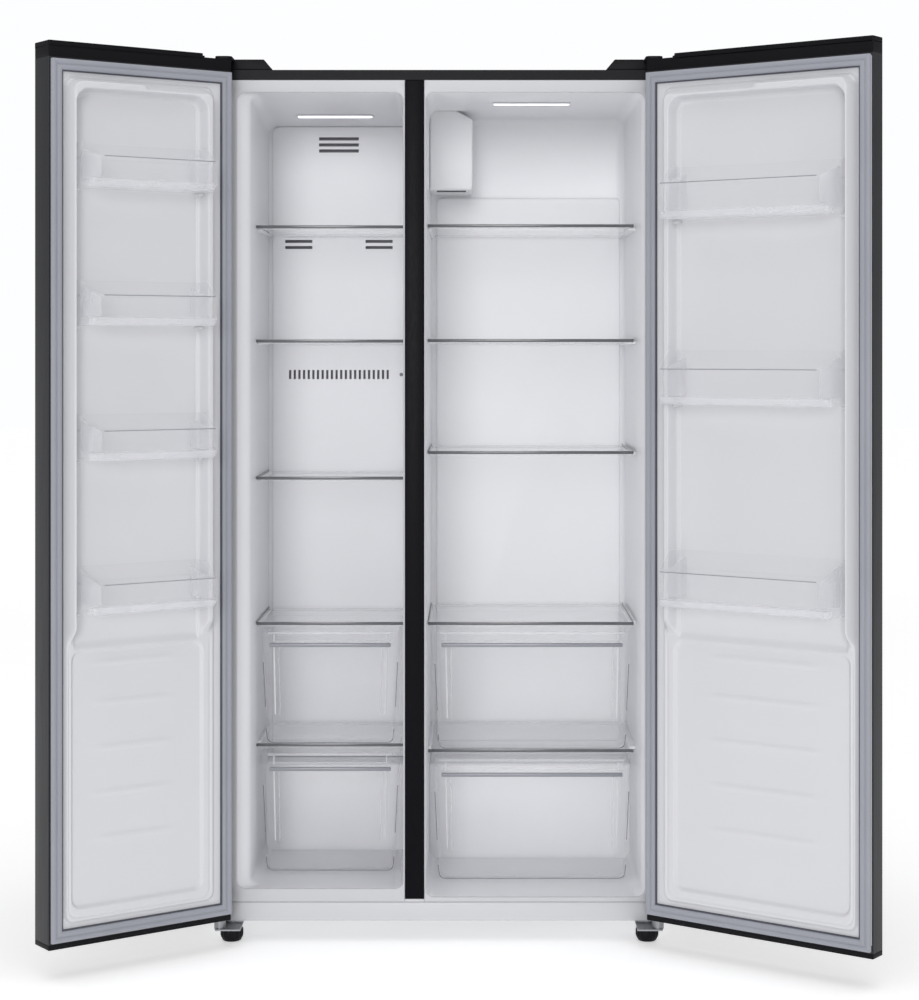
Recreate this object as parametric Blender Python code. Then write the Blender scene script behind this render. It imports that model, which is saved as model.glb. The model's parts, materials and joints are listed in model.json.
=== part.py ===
"""Side-by-side refrigerator with both doors open, with its shelves, drawers, bins and cooling parts.

Metres, +Z up. X runs to the right, Y runs from the front towards the back, and the floor is Z = 0.
The cabinet is drawn about its own middle (X = 0) with its front plane at Y = 0. One empty then carries
everything, so that the origin is under the middle of the whole object as it stands with its doors open.
"""

import math

import bmesh
import bpy
from mathutils import Matrix

# ---- cabinet ----
CABINET_WIDTH = 0.900
CABINET_DEPTH = 0.595
CABINET_TOP = 1.770
CABINET_BOTTOM = 0.044
SHEET = 0.0012  # steel sheet of the cabinet and the door skins
GAP = 0.0004  # between pieces that touch
TOP_RETURN = 0.020  # height of the steel band over the openings
SIDE_RETURN = 0.010  # width of the steel return down each side
RETURN_THICKNESS = 0.006

# ---- partition between freezer (left) and fridge (right) ----
DIVIDER_CENTRE = -0.0502
DIVIDER_WIDTH = 0.0385
DIVIDER_THICKNESS = 0.005
DIVIDER_BOTTOM = 0.089
PARTITION_LIP = 0.004  # liner that shows beside the divider strip

# ---- liners ----
LINER = 0.0025
OPENING_TOP_BELOW = 0.043  # opening top under the cabinet top
FREEZER_FLANGE = 0.040
FREEZER_WALL = 0.065
FRIDGE_FLANGE = 0.033
FRIDGE_WALL = 0.039
LEAD_IN = 0.035  # depth over which the opening narrows to the wall
BACK_WALL = 0.080
FREEZER_FLOOR = 0.110
FRIDGE_FLOOR = 0.093
FREEZER_CEILING_DROP = 0.032  # the freezer ceiling falls towards the back
STEP_DEPTH = 0.250  # machine compartment step, measured from the cabinet back
STEP_TOP = 0.300
FOAM_OVER_MACHINES = 0.045
KICK_GAP = 0.006
KICK_THICKNESS = 0.012
LEDGE_WIDTH = 0.006
LEDGE_HEIGHT = 0.006
LEDGE_END_GAP = 0.004  # ledge ends to the shelf's trims
LEAD_OVERLAP = 0.002  # how far the main space reaches into the lead-in
KICK_END = 0.020  # solid ends of the kick panel
KICK_RIM = 0.004  # solid top edge of the kick panel, over its hollow back

# ---- shelves and drawers ----
SHELF_FRONT = 0.125
GLASS = 0.004
TRIM_HEIGHT = 0.009
TRIM_DEPTH = 0.012
SHELF_SIDE_GAP = 0.0015
FRIDGE_SHELF_RIGHT_GAP = 0.008  # clear of the open door's corner as the shelf comes out
SHELF_BACK_GAP = 0.006
REAR_TRIM_INSET = 0.002  # rear trim to the ledges beside it
REAR_TRIM_SET_IN = 0.001  # rear trim to the pane's back edge
FREEZER_SHELF_SPOTS = (0.757, 0.539, 0.2775)  # shares of the height from drawer shelf to ceiling
FRIDGE_SHELF_SPOTS = (0.759, 0.540, 0.3263)
DRAWER_SHELF_TOP = 0.635
FREEZER_MIDDLE_TOP = 0.382
FRIDGE_MIDDLE_TOP = 0.370
DRAWER_WALL = 0.003
DRAWER_TAPER = 0.012  # each side, over the height
DRAWER_SIDE_GAP = 0.010
DRAWER_TOP_GAP = 0.010
FRIDGE_DRAWER_RIGHT_GAP = 0.012
DRAWER_FRONT_LEAN = 0.003  # how far the front wall leans back towards its foot
DRAWER_BACK_LEAN = 0.014
RIM_PAST = 0.002  # how far the drawer's hollow runs past its rim
UPPER_DRAWER_BACK_GAP = 0.012
LOWER_DRAWER_BACK_GAP = 0.010
RUNNER = 0.006  # ribs on the liner floor that carry the lower drawer
RAIL_DROP = 0.040  # handle rail under the drawer's rim
RAIL_HEIGHT = 0.010
RAIL_DEPTH = 0.009
RAIL_INSET = 0.024  # drawer rim's end to the rail's end
RUNNER_SPOTS = (0.25, 0.75)  # shares of the compartment's width
RUNNER_WIDTH = 0.010
RUNNER_END_GAP = 0.020

# ---- covers inside ----
COVER = 0.003
FREEZER_COVER_DEPTH = 0.090
DUCT_COVER_DEPTH = 0.008
COVER_TOP_GAP = 0.012
COVER_SIDE_GAP = 0.004
TOP_SLOT = (0.088, 0.007)  # width and height
TOP_SLOTS = 3
TOP_SLOT_BELOW = 0.016  # first slot under the cover's top
TOP_SLOT_PITCH = 0.0134
SHELF_SLOT = (0.060, 0.0065)
SHELF_SLOT_BELOW = 0.019  # first slot under the top shelf
SHELF_SLOT_PITCH = 0.0135
SHELF_SLOT_OFFSET = 0.089  # either side of the cover's middle
COMB_SLOT = (0.005, 0.020)
COMB_SLOTS = 22
COMB_PITCH = 0.0103
COMB_BELOW = 0.076  # under the second shelf
DUCT_SIDE_GAP = 0.012
DUCT_FOOT_GAP = 0.020
DUCT_TOP_GAP = 0.006
DUCT_SLOT = (0.060, 0.006)
DUCT_SLOT_DEPTH = 0.004
DUCT_SLOT_BELOW = 0.027  # under each removable shelf
DUCT_SLOT_OFFSET = 0.120
DAMPER_WIDTH = 0.094
DAMPER_DEPTH = 0.165
DAMPER_HEIGHT = 0.176
DAMPER_CHAMFER = (0.039, 0.021)  # along X and Z
DAMPER_SLOT_INSET = 0.015
DAMPER_SLOT_DEPTH = 0.045
DAMPER_SLOT_HEIGHT = 0.030
LENS_LENGTH = 0.166
LENS_WIDTH = 0.034
LENS_THICKNESS = 0.003
FREEZER_LENS_Y = 0.290
FRIDGE_LENS_Y = 0.200

# ---- cooling parts ----
EVAPORATOR_WIDTH = 0.230
EVAPORATOR_BOTTOM = 0.760
EVAPORATOR_HEIGHT = 0.200
EVAPORATOR_FRONT_GAP = 0.012
EVAPORATOR_BACK_GAP = 0.014
EVAPORATOR_FIN = 0.030  # depth of the gaps between fins
FINS = 9
EVAPORATOR_FAN = (0.016, 0.048, 0.024)  # hub radius, blade reach and depth
EVAPORATOR_FAN_Z = 1.300
CONDENSER_FAN = (0.018, 0.060, 0.030)
CONDENSER_FAN_Z = 0.150
BLADES = 5
BLADE_THICKNESS = 0.002
BLADE_PITCH = 55  # degrees
CONDENSER_LEFT = -0.400
CONDENSER_WIDTH = 0.260
CONDENSER_DEPTH = 0.120
CONDENSER_HEIGHT = 0.150
CONDENSER_FIN = 0.100
COMPRESSOR_X = 0.240
COMPRESSOR_PROFILE = ((0.050, 0.0), (0.072, 0.012), (0.074, 0.105), (0.062, 0.150), (0.030, 0.168))
COMPRESSOR_FOOT = (0.190, 0.060, 0.006)  # length, width and height of the foot plate
LOUVRE = (0.140, 0.007)
LOUVRES = 7
LOUVRE_PITCH = 0.018
LOUVRE_BOTTOM = 0.040  # first louvre over the cover's bottom edge
LOUVRE_GROUPS = (-0.270, 0.0, 0.240)  # middles, along X

# ---- doors ----
DOOR_GAP = 0.012  # door's inner face to the cabinet's front plane
DOOR_THICKNESS = 0.062
DOOR_BOTTOM = 0.060
DOOR_RISE = 0.022  # door top over the cabinet top
DOOR_SPLIT = 0.004
TOP_CAP = 0.031
BOTTOM_CAP = 0.010
OPEN_ANGLE = 143.8  # degrees from closed
HINGE_INSET = 0.010  # axis in from the cabinet side
HINGE_BEHIND = 0.026  # axis in front of the door's inner face
HINGE_STEP_LENGTH = 0.053
HINGE_STEP = 0.008
GRIP_WIDTH = 0.012
GRIP_DEPTH = 0.024
GROOVE_INSET = 0.016
GROOVE_SLOPE = 0.006
GASKET_WIDTH = 0.022
GASKET_THICKNESS = 0.0078
DOOR_LINER = 0.0022
BORDER_HEIGHT = 0.010
DYKE_HEIGHT = 0.038
DYKE_FOOT = 0.640
LINER_EDGE = 0.003  # liner and gasket in from the door's sides
LINER_END = 0.004  # liner and gasket in from the caps
BORDER_FROM_HINGE_SEAL = 0.020
BORDER_FROM_FREE_SEAL = 0.007
BORDER_FROM_END_SEAL = 0.010
HINGE_DYKE_EDGE = 0.003  # border's edge to the dyke's outer foot
HINGE_DYKE_SLOPE = 0.019
HINGE_DYKE_INNER_SLOPE = 0.004
FREE_DYKE_EDGE = 0.002
FREE_DYKE_SLOPE = 0.006
FREE_DYKE_INNER_SLOPE = 0.003
DYKE_END = 0.004  # dykes' tops under the border's top
BRIDGE_HEIGHT = 0.024
BRIDGE_SLOPE = 0.005  # on its underside
BRIDGE_TOP_SLOPE = 0.008
BRIDGE_TOP_EDGE = 0.001
BRIDGE_FROM_HINGE = 0.024  # border's edges to the bridge's ends
BRIDGE_FROM_FREE = 0.010
POCKET_FOOT = 0.010  # pocket's lower end over the dykes' feet
PANEL_FROM_HINGE = 0.034  # border's edges to the lower panel
PANEL_FROM_FREE = 0.014
PANEL_FROM_BOTTOM = 0.030
PANEL_UNDER_DYKES = 0.020
PANEL_FLOOR = 0.0012  # lower panel's face over the liner's plate
POCKET_FROM_HINGE = 0.078  # door edge to the pocket between the dykes
POCKET_FROM_FREE = 0.046
BIN_SIDE_GAP = 0.0015
BIN_REACH = 0.095  # bin front to the door's inner face
BIN_WALL = 0.0025
BIN_ZONE_TOP = 0.092  # top of the bin zone under the door top
FREEZER_BIN_SPOTS = (0.811, 0.548, 0.291, 0.0)
FRIDGE_BIN_SPOTS = (0.757, 0.395, 0.0)
BIN_ZONE_BOTTOM = 0.701
FREEZER_BIN = (0.087, 0.059)  # height at the back and at the front
FRIDGE_BIN = (0.106, 0.071)
BIN_BACK_GAP = 0.001
BIN_CHAMFER = (0.014, 0.012)  # lower front edge, along Y and Z
BIN_FULL_HEIGHT = 0.45  # share of the bin's depth that keeps the height at the back
BOSS = 0.008
BOSS_HEIGHT = 0.014
BOSS_DEPTH = 0.028

# ---- hinges, feet and rollers ----
PIN_RADIUS = 0.0055
PIN_HOLE_RADIUS = 0.0061
PIN_LENGTH = 0.018
HINGE_PLATE = 0.003
TOP_PLATE_WIDTH = 0.0264
TOP_PLATE_INSET = 0.004  # plate's outer edge in from the cabinet side
TOP_PLATE_BACK_GAP = 0.012
ARM_FRONT = 0.012  # arm's front edge in front of the axis
ARM_BEND = (0.014, 0.022)  # Y where the arm starts down and where it lies flat
BOTTOM_PLATE_INSET = 0.001
BOTTOM_PLATE_WIDTH = 0.051
BOTTOM_PLATE_FRONT = 0.016
BOTTOM_PLATE_BACK = 0.060
WASHER_RADIUS = 0.012
PIN_END_GAP = 0.001
PIN_HOLE_GAP = 0.003
HINGE_COVER_HEIGHT = 0.0215
HINGE_COVER_WIDTH = 0.112
HINGE_COVER_BACK = 0.100
HINGE_COVER_SLOPE = 0.018
HINGE_COVER_INSET = 0.001
NOSE_FRONT = 0.016  # nose's front edge in front of the axis
NOSE_BACK = 0.004
NOSE_SIDE = 0.004  # nose past the plate's inner edge
COVER_WALL = 0.002
FOOT_RADIUS = 0.0235
FOOT_X_FROM_SIDE = 0.027
FOOT_Y = 0.024
FOOT_PROFILE = ((0.72, 0.0), (0.86, 0.004), (1.0, 0.010), (1.0, 0.024), (0.8, 0.030))  # share, height
STUD_TOP_GAP = 0.002
STUD_RADIUS = 0.004
STUD_HOLE_RADIUS = 0.005
ROLLER_RADIUS = 0.018
ROLLER_WIDTH = 0.022
ROLLER_FROM_BACK = 0.060
ROLLER_FROM_SIDE = 0.060
AXLE_RADIUS = 0.003
AXLE_HOLE_RADIUS = 0.0036
EAR_THICKNESS = 0.003
EAR_GAP = 0.0015  # roller to the ears beside it
EAR_LENGTH = 0.028
EAR_BELOW = 0.004  # ears reach this far under the axle
BASE_SHEET = 0.0015

ROUND = 24  # sides of a round piece
SMALL_ROUND = 12  # sides of an axle and its bore
PAST = 0.010  # how far a cutter reaches past what it cuts
OVERLAP = 0.004  # how deep two joined shapes of a door liner sit in each other
SHARP = math.radians(30)  # edges sharper than this stay sharp

# ---- worked out from the sizes above ----
SIDE = CABINET_WIDTH / 2
DOOR_TOP = CABINET_TOP + DOOR_RISE
DIVIDER_LEFT = DIVIDER_CENTRE - DIVIDER_WIDTH / 2
DIVIDER_RIGHT = DIVIDER_CENTRE + DIVIDER_WIDTH / 2
OPENING_TOP = CABINET_TOP - OPENING_TOP_BELOW
LINER_BACK = CABINET_DEPTH - BACK_WALL
STEP_Y = CABINET_DEPTH - STEP_DEPTH
FREEZER_RIGHT = DIVIDER_LEFT - PARTITION_LIP
FRIDGE_LEFT = DIVIDER_RIGHT + PARTITION_LIP
COVER_FRONT = LINER_BACK - FREEZER_COVER_DEPTH
HINGE_Y = -(DOOR_GAP + HINGE_BEHIND)
HINGE_X = SIDE - HINGE_INSET
OUTER_FACE = HINGE_BEHIND - DOOR_THICKNESS  # door's outer face, measured from the axis
ARM_LOW = DOOR_TOP - HINGE_STEP + 2 * GAP
ARM_TOP = ARM_LOW + HINGE_PLATE
BIN_FRONT = HINGE_BEHIND + BIN_REACH
OPEN = math.radians(OPEN_ANGLE)

WHITE = (0.80, 0.80, 0.82)
CLEAR = (0.86, 0.88, 0.90)


# ---- small tools ----
def clear_scene():
    """Remove every object of the scene."""
    for old in list(bpy.data.objects):
        bpy.data.objects.remove(old, do_unlink=True)


def make_material(name, colour, roughness, metallic=0.0, alpha=1.0):
    """A plain Principled material with its own name."""
    material = bpy.data.materials.new(name)
    material.use_nodes = True
    shader = material.node_tree.nodes["Principled BSDF"]
    shader.inputs["Base Color"].default_value = (*colour, 1.0)
    shader.inputs["Roughness"].default_value = roughness
    shader.inputs["Metallic"].default_value = metallic
    shader.inputs["Alpha"].default_value = alpha
    material.diffuse_color = (*colour, alpha)
    return material


def make_empty(name, at, parent=None, turn=0.0):
    """An empty that carries other objects."""
    empty = bpy.data.objects.new(name, None)
    bpy.context.scene.collection.objects.link(empty)
    empty.location = at
    empty.rotation_euler = (0.0, 0.0, turn)
    empty.parent = parent
    return empty


def make_object(name, bm, parent, look, at=(0.0, 0.0, 0.0)):
    """Turn a bmesh into a named object whose look is (colour, roughness, metallic, alpha)."""
    bmesh.ops.recalc_face_normals(bm, faces=bm.faces)
    mesh = bpy.data.meshes.new(name)
    bm.to_mesh(mesh)
    bm.free()
    mesh.shade_smooth()
    mesh.set_sharp_from_angle(angle=SHARP)
    made = bpy.data.objects.new(name, mesh)
    bpy.context.scene.collection.objects.link(made)
    made.location = at
    made.parent = parent
    if look:
        mesh.materials.append(make_material(name, *look))
    return made


def boolean(target, bm, operation, name):
    """Join a shape to an object, or cut it out. The shape is drawn in the object's own axes."""
    tool = make_object(f"{target.name}_{name}", bm, target.parent, None, target.location)
    tool.hide_render = True
    tool.display_type = "WIRE"
    modifier = target.modifiers.new(name, "BOOLEAN")
    modifier.operation = operation
    modifier.solver = "EXACT"
    modifier.object = tool
    return target


def cut(target, bm, name="cut"):
    return boolean(target, bm, "DIFFERENCE", name)


def join(target, bm, name="join"):
    return boolean(target, bm, "UNION", name)


def box(*corners, bm=None):
    """Boxes, each given by its lowest and highest corner, in one bmesh."""
    bm = bm or bmesh.new()
    for low, high in corners:
        size = [b - a for a, b in zip(low, high)]
        middle = [(a + b) / 2 for a, b in zip(low, high)]
        place = Matrix.Translation(middle) @ Matrix.Diagonal((*size, 1.0))
        bmesh.ops.create_cube(bm, size=1.0, matrix=place)
    return bm


def prism(outline, axis, low, high, bm=None):
    """Push an outline along an axis. Its points are the other two coordinates, in X, Y, Z order."""
    bm = bm or bmesh.new()
    order = {"X": (2, 0, 1), "Y": (0, 2, 1), "Z": (0, 1, 2)}[axis]
    ends = []
    for height in (low, high):
        points = [(*point, height) for point in outline]
        ends.append([bm.verts.new([point[i] for i in order]) for point in points])
    bm.faces.new(ends[0])
    bm.faces.new(reversed(ends[1]))
    for i in range(len(outline)):
        j = (i + 1) % len(outline)
        bm.faces.new((ends[0][i], ends[0][j], ends[1][j], ends[1][i]))
    return bm


def frustum(low_rect, high_rect, low, high, axis="Z", bm=None):
    """A straight-sided block from one rectangle (x0, x1, y0, y1) to another, along an axis."""
    bm = bm or bmesh.new()
    order = {"X": (2, 0, 1), "Y": (0, 2, 1), "Z": (0, 1, 2)}[axis]
    ends = []
    for (x0, x1, y0, y1), height in ((low_rect, low), (high_rect, high)):
        points = [(x0, y0, height), (x1, y0, height), (x1, y1, height), (x0, y1, height)]
        ends.append([bm.verts.new([point[i] for i in order]) for point in points])
    bm.faces.new(ends[0])
    bm.faces.new(reversed(ends[1]))
    for i in range(4):
        j = (i + 1) % 4
        bm.faces.new((ends[0][i], ends[0][j], ends[1][j], ends[1][i]))
    return bm


def turned(profile, at=(0.0, 0.0, 0.0), axis="Z", sides=ROUND, bm=None):
    """A turned solid. The profile's points are (radius, height), from one end of the axis to the other."""
    bm = bm or bmesh.new()
    order = {"X": (2, 0, 1), "Y": (0, 2, 1), "Z": (0, 1, 2)}[axis]
    rings = []
    for radius, height in profile:
        ring = []
        for i in range(sides):
            angle = 2 * math.pi * (i + 0.5) / sides
            point = (radius * math.cos(angle), radius * math.sin(angle), height)
            ring.append(bm.verts.new([point[k] + at[n] for n, k in enumerate(order)]))
        rings.append(ring)
    for first, second in zip(rings, rings[1:]):
        for i in range(sides):
            j = (i + 1) % sides
            bm.faces.new((first[i], first[j], second[j], second[i]))
    bm.faces.new(rings[0])
    bm.faces.new(reversed(rings[-1]))
    return bm


def handed(bm, hand):
    """Mirror a shape drawn for the left door so that it fits the right one."""
    if hand < 0:
        bmesh.ops.scale(bm, vec=(-1.0, 1.0, 1.0), verts=bm.verts)
    return bm


# ---- cabinet ----
def make_shell(root):
    """The steel wrapper: two sides and the top in one sheet, with a return round the front."""
    bm = box(((-SIDE, 0.0, CABINET_BOTTOM), (SIDE, CABINET_DEPTH, CABINET_TOP)))
    shell = make_object("cabinet_shell", bm, root, ((0.028, 0.028, 0.032), 0.42, 0.3, 1.0))
    inner = SIDE - SHEET
    hollow = (
        (-inner, RETURN_THICKNESS, CABINET_BOTTOM - PAST),
        (inner, CABINET_DEPTH + PAST, CABINET_TOP - SHEET),
    )
    cut(shell, box(hollow), "hollow")
    mouth = SIDE - SIDE_RETURN
    front = (
        (-mouth, -PAST, CABINET_BOTTOM - PAST),
        (mouth, RETURN_THICKNESS + PAST, CABINET_TOP - TOP_RETURN),
    )
    cut(shell, box(front), "mouth")
    return shell


def make_back_panel(root):
    """The sheet that closes the back above the machine compartment."""
    reach = SIDE - SHEET - GAP
    low = (-reach, CABINET_DEPTH - SHEET, STEP_TOP - FOAM_OVER_MACHINES + GAP)
    high = (reach, CABINET_DEPTH, CABINET_TOP - SHEET - GAP)
    make_object("back_panel", box((low, high)), root, ((0.45, 0.46, 0.47), 0.5, 0.8, 1.0))


def wall_span(side):
    """X of the left and right walls of one compartment: the freezer is side -1, the fridge 1."""
    if side < 0:
        return -SIDE + FREEZER_WALL, FREEZER_RIGHT
    return FRIDGE_LEFT, SIDE - FRIDGE_WALL


def mouth_span(side):
    """X of the left and right edges of one compartment's mouth."""
    if side < 0:
        return -SIDE + FREEZER_FLANGE, FREEZER_RIGHT
    return FRIDGE_LEFT, SIDE - FRIDGE_FLANGE


def cavity(side, grow, front):
    """The hollow of one compartment, larger by grow all round: the main space, then the lead-in."""
    left_wall, right_wall = wall_span(side)
    left_mouth, right_mouth = mouth_span(side)
    floor = FREEZER_FLOOR if side < 0 else FRIDGE_FLOOR
    drop = FREEZER_CEILING_DROP if side < 0 else 0.0
    top, back = OPENING_TOP + grow, LINER_BACK + grow
    step_y, step_top = STEP_Y + grow, STEP_TOP - grow
    low = floor - grow
    start = LEAD_IN - LEAD_OVERLAP
    outline = [
        (start, low),
        (step_y, low),
        (step_y, step_top),
        (back, step_top),
        (back, top - drop),
        (start, top),
    ]
    main = prism(outline, "X", left_wall - grow, right_wall + grow)
    widening = (LEAD_IN - front) / LEAD_IN
    left_front = left_wall + (left_mouth - left_wall) * widening
    right_front = right_wall + (right_mouth - right_wall) * widening
    mouth = (left_front - grow, right_front + grow, low, top)
    waist = (left_wall - grow, right_wall + grow, low, top)
    lead = frustum(mouth, waist, front, LEAD_IN, "Y")
    return main, lead


def make_foam(root):
    """The foam between the liners and the steel, clear of the machine compartment."""
    front = max(LINER + 2 * GAP, RETURN_THICKNESS + GAP)
    back = CABINET_DEPTH - SHEET - GAP
    bottom = CABINET_BOTTOM + BASE_SHEET + GAP
    machine_y = STEP_Y + FOAM_OVER_MACHINES
    machine_top = STEP_TOP - FOAM_OVER_MACHINES
    kick_back, kick_top = KICK_THICKNESS + GAP, DIVIDER_BOTTOM - KICK_GAP
    outline = [
        (kick_back, bottom),
        (machine_y, bottom),
        (machine_y, machine_top),
        (back, machine_top),
        (back, CABINET_TOP - SHEET - GAP),
        (front, CABINET_TOP - SHEET - GAP),
        (front, kick_top),
        (kick_back, kick_top),
    ]
    reach = SIDE - SHEET - GAP
    look = ((0.75, 0.62, 0.35), 0.9, 0.0, 1.0)
    foam = make_object("foam_insulation", prism(outline, "X", -reach, reach), root, look)
    for side, name in ((-1, "freezer"), (1, "fridge")):
        main, lead = cavity(side, LINER + GAP, -PAST)
        cut(foam, main, f"{name}_space")
        cut(foam, lead, f"{name}_mouth")
    return foam


def shelf_heights(spots):
    """Tops of the removable shelves, from the top one down."""
    space = OPENING_TOP - DRAWER_SHELF_TOP
    return [DRAWER_SHELF_TOP + spot * space for spot in spots]


def carried_tops(side):
    """Tops of all the glass shelves of one compartment, from the top one down."""
    spots = FREEZER_SHELF_SPOTS if side < 0 else FRIDGE_SHELF_SPOTS
    middle = FREEZER_MIDDLE_TOP if side < 0 else FRIDGE_MIDDLE_TOP
    return [*shelf_heights(spots), DRAWER_SHELF_TOP, middle]


def make_liner(root, side, name):
    """One moulded liner: a box with a flange round its mouth, ledges for shelves and ribs for a drawer."""
    left, right = wall_span(side)
    floor = FREEZER_FLOOR if side < 0 else FRIDGE_FLOOR
    if side < 0:
        flange = (-SIDE + SIDE_RETURN + GAP, DIVIDER_LEFT - GAP)
    else:
        flange = (DIVIDER_RIGHT + GAP, SIDE - SIDE_RETURN - GAP)
    main, lead = cavity(side, LINER, LINER / 2)
    liner = make_object(f"{name}_liner", main, root, (WHITE, 0.35, 0.0, 1.0))
    join(liner, lead, "lead_in")
    low = (flange[0], 0.0, DIVIDER_BOTTOM - KICK_GAP)
    high = (flange[1], LINER, CABINET_TOP - TOP_RETURN - GAP)
    join(liner, box((low, high)), "flange")
    space, mouth = cavity(side, 0.0, -PAST)
    cut(liner, space, "space")
    cut(liner, mouth, "mouth")
    edges = shelf_span(side)
    spans = ((left - LINER / 2, edges[0] + LEDGE_WIDTH), (edges[1] - LEDGE_WIDTH, right + LINER / 2))
    ledges = bmesh.new()
    for top in carried_tops(side):
        under = top - GLASS - GAP
        for near, far in spans:
            low = (near, SHELF_FRONT + TRIM_DEPTH + LEDGE_END_GAP, under - LEDGE_HEIGHT)
            box((low, (far, shelf_back(side) - LEDGE_END_GAP, under)), bm=ledges)
    join(liner, ledges, "ledges")
    ribs = bmesh.new()
    for share in RUNNER_SPOTS:
        middle = left + share * (right - left)
        low = (middle - RUNNER_WIDTH / 2, SHELF_FRONT, floor - LINER / 2)
        high = (middle + RUNNER_WIDTH / 2, STEP_Y - RUNNER_END_GAP, floor + RUNNER)
        box((low, high), bm=ribs)
    join(liner, ribs, "ribs")
    return liner


def make_divider(root):
    """The dark strip down the front of the partition."""
    low = (DIVIDER_LEFT, 0.0, DIVIDER_BOTTOM)
    high = (DIVIDER_RIGHT, DIVIDER_THICKNESS, CABINET_TOP - TOP_RETURN - GAP)
    make_object("divider_strip", box((low, high)), root, ((0.014, 0.015, 0.018), 0.45, 0.0, 1.0))


def make_kick_panel(root):
    """The panel across the bottom of the front."""
    reach = SIDE - SIDE_RETURN - GAP
    low = (-reach, 0.0, CABINET_BOTTOM)
    high = (reach, KICK_THICKNESS, DIVIDER_BOTTOM - KICK_GAP - GAP)
    panel = make_object("kick_panel", box((low, high)), root, (WHITE, 0.4, 0.0, 1.0))
    behind = (
        (-reach + KICK_END, RETURN_THICKNESS - GAP, CABINET_BOTTOM - PAST),
        (reach - KICK_END, KICK_THICKNESS + PAST, DIVIDER_BOTTOM - KICK_GAP - KICK_RIM),
    )
    return cut(panel, box(behind), "behind")


# ---- glass shelves and drawers ----
def shelf_span(side):
    """Left and right edges of the glass shelves of one compartment."""
    left, right = wall_span(side)
    right_gap = FRIDGE_SHELF_RIGHT_GAP if side > 0 else SHELF_SIDE_GAP
    return left + SHELF_SIDE_GAP, right - right_gap


def make_shelf(root, name, side, top):
    """A glass pane with a trim along its front, and one at its rear that passes between the ledges."""
    left, right = shelf_span(side)
    back = shelf_back(side)
    low = top - TRIM_HEIGHT
    outline = [
        (SHELF_FRONT, top),
        (SHELF_FRONT, low),
        (SHELF_FRONT + TRIM_DEPTH, low),
        (SHELF_FRONT + TRIM_DEPTH, top - GLASS),
        (back, top - GLASS),
        (back, top),
    ]
    look = (CLEAR, 0.08, 0.0, 0.35)
    shelf = make_object(name, prism(outline, "X", left, right), root, look)
    inset = LEDGE_WIDTH + REAR_TRIM_INSET
    trim_low = (left + inset, back - TRIM_DEPTH, low)
    trim_high = (right - inset, back - REAR_TRIM_SET_IN, top - GLASS / 2)
    return join(shelf, box((trim_low, trim_high)), "rear_trim")


def cover_front(side):
    """Y of the front of the cover on the back wall of one compartment."""
    return COVER_FRONT if side < 0 else LINER_BACK - DUCT_COVER_DEPTH


def shelf_back(side):
    return cover_front(side) - SHELF_BACK_GAP


def make_drawer(root, name, side, bottom, top, back):
    """A tapered clear drawer with a rail across its front. Its origin is on its front, at its bottom."""
    walls = wall_span(side)
    left = walls[0] + SHELF_SIDE_GAP + DRAWER_SIDE_GAP
    right_gap = FRIDGE_DRAWER_RIGHT_GAP + SHELF_SIDE_GAP if side > 0 else DRAWER_SIDE_GAP + SHELF_SIDE_GAP
    right = walls[1] - right_gap
    middle = (left + right) / 2
    half = (right - left) / 2
    deep, tall = back - SHELF_FRONT, top - bottom
    wall, taper = DRAWER_WALL, DRAWER_TAPER
    foot = (-half + taper, half - taper, DRAWER_FRONT_LEAN, deep - DRAWER_BACK_LEAN)
    rim = (-half, half, 0.0, deep)
    at = (middle, SHELF_FRONT, bottom)
    drawer = make_object(name, frustum(foot, rim, 0.0, tall), root, (CLEAR, 0.12, 0.0, 0.4), at)
    inner_foot = (foot[0] + wall, foot[1] - wall, foot[2] + wall, foot[3] - wall)
    inner_rim = (rim[0] + wall, rim[1] - wall, rim[2] + wall, rim[3] - wall)
    cut(drawer, frustum(inner_foot, inner_rim, wall, tall + RIM_PAST), "inside")
    rail_z = tall - RAIL_DROP
    reach = half - RAIL_INSET
    rail = box(((-reach, -RAIL_DEPTH, rail_z), (reach, wall / 2, rail_z + RAIL_HEIGHT)))
    return join(drawer, rail, "rail")


def make_shelves_and_drawers(root):
    """Five glass shelves and two drawers in each compartment."""
    for side, name in ((-1, "freezer"), (1, "fridge")):
        tops = carried_tops(side)
        for number, top in enumerate(tops[:3], start=1):
            make_shelf(root, f"{name}_shelf_{number}", side, top)
        drawer_top, middle_top = tops[3:]
        make_shelf(root, f"{name}_drawer_shelf", side, drawer_top)
        make_shelf(root, f"{name}_middle_shelf", side, middle_top)
        floor = FREEZER_FLOOR if side < 0 else FRIDGE_FLOOR
        back = cover_front(side)
        under = drawer_top - TRIM_HEIGHT - DRAWER_TOP_GAP
        bottom = middle_top + 2 * GAP
        make_drawer(root, f"{name}_drawer_upper", side, bottom, under, back - UPPER_DRAWER_BACK_GAP)
        under = middle_top - TRIM_HEIGHT - DRAWER_TOP_GAP
        lower = floor + RUNNER + 2 * GAP
        make_drawer(root, f"{name}_drawer_lower", side, lower, under, STEP_Y - LOWER_DRAWER_BACK_GAP)


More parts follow.
